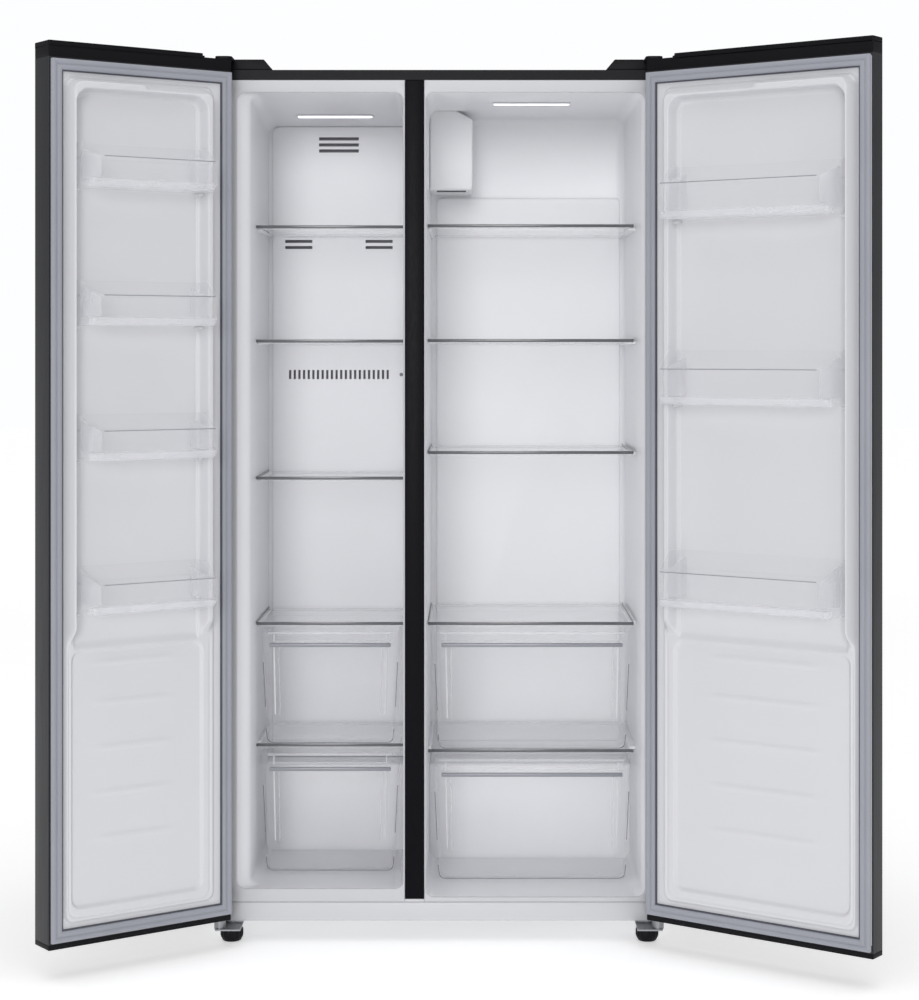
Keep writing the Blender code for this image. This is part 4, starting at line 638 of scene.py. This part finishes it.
# ---------------------------------------------------------------- shelves and drawers
def make_shelf(name, body):
    """A pane with eased edges, dark front and side edges, and frosted trims under its front and back."""
    x0, x1, y0, y1, z0, z1 = here(name)
    front_edge = 0.003
    outline = [(x0, y0 + front_edge), (x1, y0 + front_edge), (x1, y1), (x0, y1)]
    pane = column(fillet(outline, [0.001, 0.001, 0.006, 0.006]), z1 - GLASS_THICK, z1, 0.0007)
    piece(name + "_pane", pane, body, GLASS, (name,), matrix=HERE)
    skim = 0.0002
    behind, under = y0 + front_edge + skim, z1 - GLASS_THICK
    dark = soften(block((x0, x1, y0 + skim, y0 + front_edge, z1 - 0.0062, z1 + skim)), 0.0009, 2)
    if "middle" not in name:
        out, deep = 0.0004, 0.0009
        sides = [(x0 - out, x0 + deep), (x1 - deep, x1 + out)]
        strips = block(*[(a, b, behind, y1 - 0.007, under - skim, z1 + skim) for a, b in sides])
        dark = merge(dark, soften(strips, 0.0003, 1))
    piece(name + "_edge", dark, body, GREY_EDGE, matrix=HERE)
    trim_top = under - 0.0003
    lip = soften(block((x0 + 0.001, x1 - 0.001, behind, y0 + 0.0120, z0, trim_top)), 0.0012, 2)
    rear = soften(block((x0 + 0.008, x1 - 0.008, y1 - 0.012, y1 - 0.0012, z0, trim_top)), 0.0015, 2)
    piece(name + "_trims", merge(lip, rear), body, FROST, matrix=HERE)


def shell_rings(x0, x1, y0, y1, z0, z1, taper, lean, wall, radius):
    """Rings of a thin open tub that narrows to its floor: up the outside, over the rim, down the inside."""
    tall = z1 - z0
    rings = []

    def add(z, inset, corner):
        down = (z1 - z) / tall
        a0, a1 = x0 + taper * down + inset, x1 - taper * down - inset
        b0, b1 = y0 + lean[0] * down + inset, y1 - lean[1] * down - inset
        rings.append([(x, y, z) for x, y in ring(a0, a1, b0, b1, corner, 5)])

    for k in range(5):
        angle = math.radians(90 * k / 4)
        add(z0 + radius * (1 - math.sin(angle)), radius * (1 - math.cos(angle)), radius)
    rings.reverse()
    ease, sag = 0.0004, 0.0005
    add(z1 - 0.004, 0.0, radius)
    add(z1 - sag, ease, radius)
    add(z1, wall / 2, radius)
    add(z1 - sag, wall - ease, radius - wall / 2)
    add(z0 + radius, wall, radius - wall)
    inner = radius - wall
    for k in range(1, 5):
        angle = math.radians(90 * k / 4)
        add(z0 + radius - inner * math.sin(angle), wall + inner * (1 - math.cos(angle)), inner)
    return rings


def drawer_edge_shade(x0, x1, z0, z1, front):
    """Painted shade: dark outlines where a clear tub's edges look dark, round its front's foot and up its two
    front corners.
    """
    tall = z1 - z0

    def side_of(z):
        return DRAWER_TAPER * (z1 - z) / tall

    low_corner, thin, lift = z0 + 0.030, 0.0016, 0.001
    inset, sunk = side_of(z0) + lift, side_of(low_corner)
    floor = z0 + lift
    outline = [
        (x0 + sunk, low_corner), (x0 + inset, floor), (x1 - inset, floor), (x1 - sunk, low_corner),
        (x1 - sunk - thin, low_corner), (x1 - inset - thin, floor + thin), (x0 + inset + thin, floor + thin),
        (x0 + sunk + thin, low_corner),
    ]
    outer, inner = 0.015, 0.0135
    outline = fillet(outline, [0, outer, outer, 0, 0, inner, inner, 0])
    edges = loft([[(x, front + dy, z) for x, z in outline] for dy in (-0.0010, -0.0001)], True, True)
    for side in (-1, 1):
        corner = x0 if side < 0 else x1
        high, low = z0 + 0.72 * tall, z0 + 0.32 * tall
        strip = [
            (corner - side * side_of(high), high), (corner - side * side_of(low), low),
            (corner - side * (side_of(low) + thin), low), (corner - side * (side_of(high) + thin), high),
        ]
        loft([[(x, front + dy, z) for x, z in strip] for dy in (0.0060, 0.0072)], True, True, edges)
    bmesh.ops.recalc_face_normals(edges, faces=edges.faces)
    return edges


def drawer_ribs(middle, reach, z0, z1, front, rail):
    """Upright ribs near both ends of the front: opaque white ones that are painted highlights and, further in,
    frosted ones.
    """
    highlight_ribs, frosted = bmesh.new(), bmesh.new()
    rise, sink, wide, narrow = 0.0012, 0.001, 0.0015, 0.0012
    for side in (-1, 1):
        edge = middle + side * reach
        top = Vector((edge - side * 0.009, front - rise, rail))
        foot = Vector((edge - side * 0.012, front - 0.0002, z0 + 0.26 * (z1 - z0)))
        crown = [Vector((top.x, top.y, z)) for z in (z1 - 0.007, rail + 0.013)]
        upright = (top, foot)
        for shift, half, ends, target in (
            (0.0, wide, upright, highlight_ribs), (0.0, narrow, crown, highlight_ribs), (0.010, narrow, upright, frosted),
        ):
            rings = []
            for end in ends:
                x = end.x - side * shift
                low, high = end.y + sink, end.y - rise
                rings.append([(x - half, low, end.z), (x, high, end.z), (x + half, low, end.z)])
            loft(rings, True, True, target)
    bmesh.ops.recalc_face_normals(highlight_ribs, faces=highlight_ribs.faces)
    return highlight_ribs, frosted


def make_drawer(name):
    """A clear tub with dark outlines painted as edge shade, upright ribs with painted highlights, and a cap, a
    step and a grey rail across its front whose grey is partly painted shade.
    """
    x0, x1, y0, y1, z0, z1 = here(name)
    front = y0 + 0.009  # the tub's front stands behind its rail
    lean = (0.003, 0.014)  # how far the front and the back lean in towards the floor
    rings = shell_rings(x0, x1, front, y1, z0, z1, DRAWER_TAPER, lean, DRAWER_WALL, DRAWER_CORNER)
    piece(name + "_tub", loft(rings, True, True), name, CLEAR, (name,), matrix=HERE)
    rail = z1 - (0.033 if "upper" in name else 0.038)
    middle, reach = (x0 + x1) / 2, (x1 - x0) / 2 - 0.018
    left, right = middle - reach, middle + reach
    # The rail is a real part; its grey is partly painted shade.
    bar = block((left, right, y0 + 0.0006, front - 0.0002, rail + 0.001, rail + 0.009))
    piece(name + "_rail", soften(bar, 0.002), name, RAIL_SHADE, matrix=HERE)
    # Painted shade along the tub's edges.
    edges = drawer_edge_shade(x0, x1, z0, z1, front)
    piece(name + "_edges", edges, name, PLASTIC_EDGE_SHADE, matrix=HERE)
    # The white ribs are painted highlights on the clear front.
    highlight_ribs, frosted = drawer_ribs(middle, reach, z0, z1, front, rail)
    piece(name + "_highlight_ribs", highlight_ribs, name, WHITE_TRIM, matrix=HERE)
    over, back = 0.004, front + 0.001
    cap = block((left - over, right + over, front - 0.004, back, z1 - 0.006, z1 - 0.001))
    step = block((left, right, front - 0.0022, back, z1 - 0.0225, z1 - 0.0195))
    soften(cap, width=0.0012, segments=2)
    soften(step, width=0.0006, segments=2)
    piece(name + "_ribs", merge(frosted, cap, step), name, FROST, matrix=HERE)


# ---------------------------------------------------------------- doors
def make_skin(name, matrix):
    """The folded skin with eased corners, and the two end caps."""
    body = f"{name}_door"
    a0, a1, b0, b1, z0, z1 = door_box(f"{name}_door_panel", matrix)
    if name == "freezer":
        groove, bed = a1 - 0.016, b0 + 0.012
        outline = [
            (a0, b0), (groove - 0.024, b0), (groove - 0.018, bed), (groove, bed), (groove, b0),
            (a1, b0), (a1, b1), (a0, b1),
        ]
        radii = [0.006, 0.002, 0.003, 0.003, 0.002, 0.004, 0.0015, 0.0015]
        plan, plan_radii = [(a0, b0), (a1, b0), (a1, b1), (a0, b1)], [0.006, 0.004, 0.0015, 0.0015]
    else:
        grip, grip_deep = 0.012, 0.024
        outline = [(a0, b0), (a1 - grip, b0), (a1, b0 + grip_deep), (a1, b1), (a0, b1)]
        radii = [0.006, 0.006, 0.003, 0.0015, 0.0015]
        plan, plan_radii = outline, radii
    lap = 0.0002
    levels = (z0 - lap, z1 + lap)
    skin = loft([[(x, y, z) for x, y in fillet(outline, radii)] for z in levels], True, True)
    piece(f"{name}_door_skin", skin, body, DARK_STEEL, (f"{name}_door_panel",), matrix=matrix)
    _a0, _a1, _b0, _b1, c0, c1 = door_box(f"{name}_door_top_cap", matrix)
    under, step, lap = c1 - 0.008, 0.053, 0.004
    rounded = fillet(plan, plan_radii)
    lower = column(rounded, c0, under, 0.0008)
    high = [(max(x, step), y) for x, y in plan]
    upper = column(fillet(high, 0.003), under - lap, c1, 0.0012)
    r0, r1, s0, s1 = step - 0.006, step + 0.01, b0 + lap, b1 - lap
    ridge = fillet([(r0, s0), (r1, s0), (r1, s1), (r0, s1)], 0.002)
    ridge = column(ridge, under - lap, c1 - lap, 0.001)
    cap = merge(lower, upper, ridge)
    piece(f"{name}_door_top_trim", cap, body, BLACK, (f"{name}_door_top_cap",), matrix=matrix)
    _a0, _a1, _b0, _b1, c0, c1 = door_box(f"{name}_door_bottom_cap", matrix)
    foot = column(rounded, c0, c1, 0.0012)
    piece(f"{name}_door_bottom_trim", foot, body, BLACK, (f"{name}_door_bottom_cap",), matrix=matrix)


def make_gasket(name, matrix):
    """The seal: a soft double-rolled section run round the door with mitred corners, and a dark lip inside it
    that is partly its own dark rubber and partly painted shade of the groove.
    """
    node, body = f"{name}_door_gasket", f"{name}_door"
    a0, a1, b0, b1, z0, z1 = door_box(node, matrix)
    top = b1 - b0

    def run(profile):
        """Carry a profile of (distance in from the outline, height) round the door."""
        rings = []
        for d, rise in profile:
            outline = ring(a0 + d, a1 - d, z0 + d, z1 - d, 0.0012, 2)
            rings.append([(x, b0 + rise, z) for x, z in outline])
        return loft(rings, loop=True)

    seal = run((
        (0.0000, 0.0), (0.0000, top - 0.0020), (0.0008, top - 0.0006), (0.0026, top), (0.0088, top),
        (0.0098, top - 0.0016), (0.0112, top - 0.0016), (0.0121, top - 0.0004), (0.0195, top - 0.0006),
        (0.0210, top - 0.0020), (0.0220, 0.0),
    ))
    # The lip's dark is partly painted shade of the groove.
    lip = run((
        (0.0216, 0.0), (0.0216, top - 0.0030), (0.0224, top - 0.0024), (0.0232, top - 0.0030), (0.0236, 0.0)
    ))
    piece(f"{name}_door_seal", seal, body, RUBBER, (node,), matrix=matrix, smooth=60)
    piece(f"{name}_door_seal_lip_shade", lip, body, SEAL_LIP_SHADE, matrix=matrix, smooth=60)


def lines(spans, coarse):
    """Grid lines: coarse steps over the whole of the first span and fine ones over the others."""
    start, end = spans[0]
    found = set(np.round(np.arange(start, end, coarse), 5)) | {round(end, 5)}
    for low, high, step in spans[1:]:
        found |= set(np.round(np.arange(low, high + step / 2, step), 5))
    return np.array(sorted(v for v in found if start <= v <= end))


def make_door_liner(name, matrix):
    """The moulded inner face as one relief: border, dykes, top bar, bosses, and the ribbed lower part."""
    node = f"{name}_door_liner"
    a0, a1, b0, b1, z0, z1 = door_box(node, matrix)
    edge, crest = a1 + 0.003, b1 - b0
    base, step = 0.0022, 0.0078  # height of the flat rim, and of the border above it
    pocket_sink, panel_sink, groove_sink, rib_rise = 0.0050, 0.0055, 0.0016, 0.0019
    hinge_side, free_side = 0.032, edge - 0.029
    pocket0, pocket1 = 0.068, edge - 0.046
    low, high = z0 + 0.032, z1 - 0.032
    foot = DYKE_FOOT
    near_hinge = (hinge_side - 0.002, pocket0 + 0.012, 0.0013)
    near_edge = (pocket1 - 0.010, free_side + 0.002, 0.0011)
    xs = lines([(a0, a1), near_hinge, near_edge], 0.009)
    zs = lines(
        [
            (z0, z1), (low - 0.002, low + 0.060, 0.0022), (foot - 0.03, foot + 0.06, 0.0035),
            (high - 0.080, high + 0.002, 0.0016),
        ]
        + [(z - 0.010, z + 0.010, 0.0020) for z in RIBS],
        0.012,
    )
    x, z = np.meshgrid(xs, zs)
    border = inside(x, z, hinge_side, free_side, low, high, 0.020)
    height = base + step * ramp(border, 0.0, 0.006)
    outer = inside(x, z, hinge_side + 0.003, free_side - 0.002, foot - 0.2, high - 0.004, 0.026)
    pocket = inside(x, z, pocket0, pocket1, foot - 0.3, high - 0.029, 0.024)
    rise_in = np.where(x < (hinge_side + free_side) / 2, 0.019, 0.008)
    dyke = ramp(outer, 0.0, rise_in) * ramp(-pocket, 0.0, np.where(z > high - 0.034, 0.006, 0.0065))
    fade = ramp(z, foot - 0.004, foot + 0.034)
    height = height + (crest - base - step) * dyke * fade
    height = height - pocket_sink * ramp(pocket, 0.0, 0.006) * ramp(z, foot - 0.012, foot + 0.004)
    panel = inside(x, z, hinge_side + 0.026, free_side - 0.012, low + 0.026, foot - 0.012, 0.022)
    height = height - panel_sink * ramp(panel, 0.0, 0.007)
    line = inside(x, z, hinge_side + 0.008, free_side - 0.005, low + 0.008, foot + 0.2, 0.022)
    groove = np.exp(-((line - 0.004) / 0.0018) ** 2) * ramp(-z, -foot, -foot + 0.05)
    height = height - groove_sink * groove
    middle, half = (pocket0 + pocket1) / 2 + 0.006, (pocket1 - pocket0) * 0.36
    rib_run, rib_width = 0.045, 0.0062
    for centre in RIBS:
        along = ramp(half - np.abs(x - middle), 0.0, rib_run)
        height = height + rib_rise * along * np.exp(-((z - centre) / rib_width) ** 2)
    bm = bmesh.new()
    grid = []
    for level, row in zip(zs, height):
        grid.append([bm.verts.new((float(u), b0 + float(rise), float(level))) for u, rise in zip(xs, row)])
    for k in range(len(zs) - 1):
        for i in range(len(xs) - 1):
            bm.faces.new((grid[k][i], grid[k + 1][i], grid[k + 1][i + 1], grid[k][i + 1]))
    rim = [grid[0][i] for i in range(len(xs))] + [grid[k][-1] for k in range(1, len(zs))]
    rim += [grid[-1][i] for i in range(len(xs) - 2, -1, -1)] + [grid[k][0] for k in range(len(zs) - 2, 0, -1)]
    back = [bm.verts.new((v.co.x, b0, v.co.z)) for v in rim]
    for i in range(len(rim)):
        j = (i + 1) % len(rim)
        bm.faces.new((rim[i], rim[j], back[j], back[i]))
    bmesh.ops.recalc_face_normals(bm, faces=bm.faces)
    if sum(f.normal.y * f.calc_area() for f in bm.faces) < 0:
        bmesh.ops.reverse_faces(bm, faces=bm.faces)
    # The moulding and its bosses take the darker copy of the white: painted shade.
    piece(f"{name}_door_moulding", bm, f"{name}_door", WHITE_DOOR_SHADED, (node,), matrix=matrix, smooth=70)
    bosses = bmesh.new()
    for bin_name in [n for n in frame["bodies"] if n.startswith(f"{name}_door_bin")]:
        bottom = door_box(bin_name, matrix)[4]
        for u0, u1 in ((pocket0 - 0.003, pocket0 + 0.008), (pocket1 - 0.008, pocket1 + 0.003)):
            block((u0, u1, b0 + 0.001, b0 + 0.024, bottom - 0.006, bottom - 0.0004), bm=bosses)
    soften(bosses, width=0.0022)
    piece(f"{name}_door_bosses", bosses, f"{name}_door", WHITE_DOOR_SHADED, matrix=matrix)


def make_bin(name, door, matrix):
    """A clear bin: low front on a milky foot band, raised ends and back, a grey strip on the front rim that is
    painted shade of its edge, inner end walls.
    """
    a0, a1, b0, b1, z0, z1 = door_box(name, matrix)
    front = z0 + (0.059 if door == "freezer" else 0.071)
    wall, band = 0.0024, z0 + 0.017
    rings = []

    def add(z, inset, back_corner, front_corner, pull):
        x0, x1, y0, y1 = a0 + inset, a1 - inset, b0 + inset, b1 - inset - pull
        radii = [back_corner, back_corner, front_corner, front_corner]
        outline = fillet([(x0, y0), (x1, y0), (x1, y1), (x0, y1)], radii)
        rings.append([(x, y, z) for x, y in outline])

    # up the outside, over the rim and down the inside: height, inset, back corner, front corner, pull
    ease, outer, inner = 0.0008, (0.004, 0.014), (0.003, 0.0116)
    for step in (
        (z0, 0.006, 0.003, 0.010, 0.010),
        (z0 + 0.0015, 0.002, 0.004, 0.012, 0.008),
        (z0 + 0.005, 0.0005, 0.004, 0.013, 0.006),
        (z0 + 0.014, 0.0, *outer, 0.001),
        (band, 0.0, *outer, 0.0),
        (front - ease, 0.0, *outer, 0.0),
        (front, wall / 2, *outer, 0.0),
        (front - ease, wall, *inner, 0.0),
        (band, wall, *inner, 0.0),
        (z0 + 0.006, wall + 0.001, *inner, 0.006),
        (z0 + 0.003, wall + 0.006, 0.002, 0.008, 0.010),
    ):
        add(*step)
    tub = loft(rings, True, True)
    uppers = bmesh.new()
    low, nose, shoulder = front - 0.004, b1 - 0.016, b0 + (b1 - b0) * 0.45
    for u0, u1 in ((a0, a0 + wall), (a1 - wall, a1)):
        outline = [(b0, low), (nose, low), (nose, front), (shoulder, z1), (b0, z1)]
        outline = fillet(outline, [0, 0, 0.004, 0.010, 0.004])
        loft([[(u, y, z) for y, z in outline] for u in (u0, u1)], True, True, uppers)
    block((a0 + wall, a1 - wall, b0, b0 + wall, low, z1), bm=uppers)
    soften(uppers, width=0.0006, segments=2, angle=50)
    ends = bmesh.new()
    thick, near, far = 0.0016, b0 + 0.004, b1 - 0.004
    outline = [(near, z0 + 0.016), (far, z0 + 0.018), (far, front - 0.002), (near, z1 - 0.012)]
    outline = fillet(outline, 0.005)
    for u in (a0 + 0.016, a1 - 0.018):
        loft([[(u + t, y, z) for y, z in outline] for t in (0.0, thick)], True, True, ends)
    piece(name + "_tub", merge(tub, uppers), name, CLEAR, (name,), matrix=matrix)
    piece(name + "_ends", ends, name, FROST, matrix=matrix)
    # A grey strip along the front wall's top: painted shade where the clear edge looks dark.
    rim = block((a0 + 0.010, a1 - 0.022, b1 - 0.0001, b1 + 0.0007, front - 0.0026, front - 0.0008))
    piece(name + "_rim", soften(rim, 0.0003, 1), name, RAIL_SHADE, matrix=matrix)
    foot, clear, band_deep = [], 0.0004, 0.020
    for z, inset, pull in (
        (0.0004, 0.0075, 0.0105), (0.0014, 0.0030, 0.0085), (0.0050, 0.0016, 0.0065),
        (0.0140, 0.0012, 0.0016), (0.0152, 0.0026, 0.0026),
    ):
        x0, x1, y1 = a0 + inset, a1 - inset, b1 - clear - pull
        y0 = y1 - band_deep
        outline = fillet([(x0, y0), (x1, y0), (x1, y1), (x0, y1)], [0.001, 0.001, 0.012, 0.012])
        foot.append([(x, y, z0 + z) for x, y in outline])
    piece(name + "_foot", loft(foot, True, True), name, MILKY, matrix=matrix)


def make_door(name, bins):
    matrix = door_matrix(name)
    make_skin(name, matrix)
    make_gasket(name, matrix)
    make_door_liner(name, matrix)
    for number in range(1, bins + 1):
        make_bin(f"{name}_door_bin_{number}", name, matrix)


# ---------------------------------------------------------------- hinges, feet and the rest
def make_hinge_cover(name):
    """The dark cover: a low lid with a sloped inner end and a rounded nose round the pin."""
    x0, x1, _y0, y1, z0, z1 = here(f"{name}_hinge_cover")
    sign = -1 if name == "freezer" else 1
    outer, inner = (x0, x1) if sign < 0 else (x1, x0)
    slope = 0.018
    outline = [(outer, z0), (inner, z0), (inner + sign * slope, z1), (outer, z1)]
    bm = loft([[(x, y, z) for x, z in outline] for y in (0.001, y1)], True, True)
    soften(bm, width=0.002)
    reach, rear, nose_front = outer - sign * 0.034, 0.006, -0.054
    plan = [(outer, rear), (reach, rear), (reach, nose_front), (outer, nose_front)]
    plan = fillet(plan, [0, 0, 0.012, 0.009], 6)
    plate_top = TOP + 0.0150
    nose = column(plan, plate_top, z1, 0.001)
    piece(f"{name}_hinge_lid", merge(bm, nose), "cabinet", BLACK, (f"{name}_hinge_cover",), matrix=HERE)


def make_foot(name):
    """A ribbed levelling foot with its stud."""
    x0, x1, y0, y1, _z0, z1 = here(name)
    cx, cy, radius = (x0 + x1) / 2, (y0 + y1) / 2, (x1 - x0) / 2
    sides, groove = 72, 0.955
    rings = []
    for share, z, ribbed in (  # share of the radius, height, ribbed or plain
        (0.72, 0.0, 0), (0.80, 0.0012, 0), (0.86, 0.004, 0), (0.95, 0.008, 0), (0.99, 0.0105, 1),
        (1.0, 0.012, 1), (1.0, 0.022, 1), (0.98, 0.0235, 1), (0.92, 0.026, 0), (0.80, 0.0298, 0),
        (0.30, 0.0305, 0), (0.17, 0.0305, 0), (0.17, z1, 0),
    ):
        line = []
        for i in range(sides):
            angle = 2 * math.pi * i / sides
            out = radius * share * (groove if ribbed and i % 4 < 2 else 1.0)
            line.append((cx + out * math.cos(angle), cy + out * math.sin(angle), z))
        rings.append(line)
    piece(name + "_knob", loft(rings, True, True), name, BLACK, (name,), matrix=HERE)


def dress_cad():
    """Finishes for the CAD nodes that stay as they are."""
    finishes = {
        "cabinet_shell": CABINET_STEEL,
        "back_panel": ZINC,
        "base_plate": ZINC,
        "foam_insulation": FOAM,
        "machine_cover": BLACK,
        "compressor": ENAMEL,
        "condenser": ENAMEL,
        "evaporator": FIN,
        "evaporator_fan": BLACK,
        "condenser_fan": BLACK,
        "left_rear_roller": BLACK,
        "right_rear_roller": BLACK,
        "freezer_top_hinge": ENAMEL,
        "fridge_top_hinge": ENAMEL,
        "freezer_bottom_hinge": HINGE_STEEL,
        "fridge_bottom_hinge": HINGE_STEEL,
    }
    for node, finish in finishes.items():
        mesh = NODES[node].data
        mesh.materials.clear()
        mesh.materials.append(finish)


# ---------------------------------------------------------------- stage
def make_stage():
    """Pale floor, soft light all round and the camera. Far from the lamp the floor glows a little more."""
    bm = bmesh.new()
    floor_half = 30.0
    bmesh.ops.create_grid(bm, x_segments=2, y_segments=2, size=floor_half)
    mesh = bpy.data.meshes.new("floor")
    bm.to_mesh(mesh)
    bm.free()
    paint = finish_of("floor_paint", (0.93, 0.93, 0.93), 0.004, 0.75, 40.0, (0.02, 0.0004), gloss=0.1)
    shader = paint.node_tree.nodes["Principled BSDF"]
    shader.inputs["Emission Color"].default_value = (1.0, 1.0, 1.0, 1.0)
    place = paint.node_tree.nodes.new("ShaderNodeTexCoord")
    split = paint.node_tree.nodes.new("ShaderNodeSeparateXYZ")
    glow = paint.node_tree.nodes.new("ShaderNodeMapRange")
    near, far, near_glow, far_glow = 2.0, 8.0, 0.42, 0.64
    for socket, value in (("From Min", near), ("From Max", far), ("To Min", near_glow), ("To Max", far_glow)):
        glow.inputs[socket].default_value = value
    link(paint.node_tree, place, "Object", split, "Vector")
    link(paint.node_tree, split, "Y", glow, "Value")
    link(paint.node_tree, glow, "Result", shader, "Emission Strength")
    mesh.materials.append(paint)
    floor = bpy.data.objects.new("floor", mesh)
    under_feet = 0.0006
    floor.location = (0, 0, -under_feet)
    bpy.context.scene.collection.objects.link(floor)
    world = bpy.data.worlds.new("studio")
    world.use_nodes = True
    tree = world.node_tree
    shader = tree.nodes["Background"]
    shader.inputs["Color"].default_value = (0.985, 0.99, 1.0, 1.0)
    path = tree.nodes.new("ShaderNodeLightPath")
    level = tree.nodes.new("ShaderNodeMapRange")
    ambient, backdrop = 0.34, 1.0
    level.inputs["To Min"].default_value = ambient
    level.inputs["To Max"].default_value = backdrop
    link(tree, path, "Is Camera Ray", level, "Value")
    link(tree, level, "Result", shader, "Strength")
    bpy.context.scene.world = world
    sun = bpy.data.lights.new("front_light", "SUN")
    sun.energy, sun.angle = 0.98, math.radians(20)
    lamps = [("front_light", sun, (-0.45, -5.0, 1.9), (0, 0.2, 1.1))]  # name, data, place, aim
    top = bpy.data.lights.new("top_light", "AREA")
    top.shape, top.size, top.size_y, top.energy = "RECTANGLE", 8.0, 8.0, 170
    lamps.append(("top_light", top, (0, -1.2, 5.0), (0, -1.0, 0)))
    for name, data, place, aim in lamps:
        lamp_object = bpy.data.objects.new(name, data)
        lamp_object.location = place
        lamp_object.rotation_euler = (Vector(aim) - Vector(place)).to_track_quat("-Z", "Y").to_euler()
        bpy.context.scene.collection.objects.link(lamp_object)
    data = bpy.data.cameras.new("camera")
    data.lens, data.sensor_width, data.shift_x, data.shift_y = 80.78, 36.0, -0.0155, -0.15
    camera = bpy.data.objects.new("camera", data)
    aside, distance, eye = 0.0724, 4.550, 1.202
    camera.location = (CX + aside, CY - distance, eye)
    camera.rotation_euler = (math.radians(90), 0, 0)
    bpy.context.scene.collection.objects.link(camera)
    bpy.context.scene.camera = camera
    bpy.context.scene.view_settings.view_transform = "Standard"
    bpy.context.scene.cycles.transparent_max_bounces = 40


dress_cad()
for part in ("freezer", "fridge"):
    make_liner(part)
    make_hinge_cover(part)
    for number in (1, 2, 3):
        make_shelf(f"{part}_shelf_{number}", f"{part}_shelf_{number}")
    make_shelf(f"{part}_drawer_shelf", "cabinet")
    make_shelf(f"{part}_middle_shelf", "cabinet")
    for level in ("upper", "lower"):
        make_drawer(f"{part}_drawer_{level}")
make_freezer_cover()
make_fridge_covers()
make_lenses()
make_front()
make_door("freezer", 4)
make_door("fridge", 3)
for hand in ("left", "right"):
    make_foot(f"{hand}_levelling_foot")
make_stage()
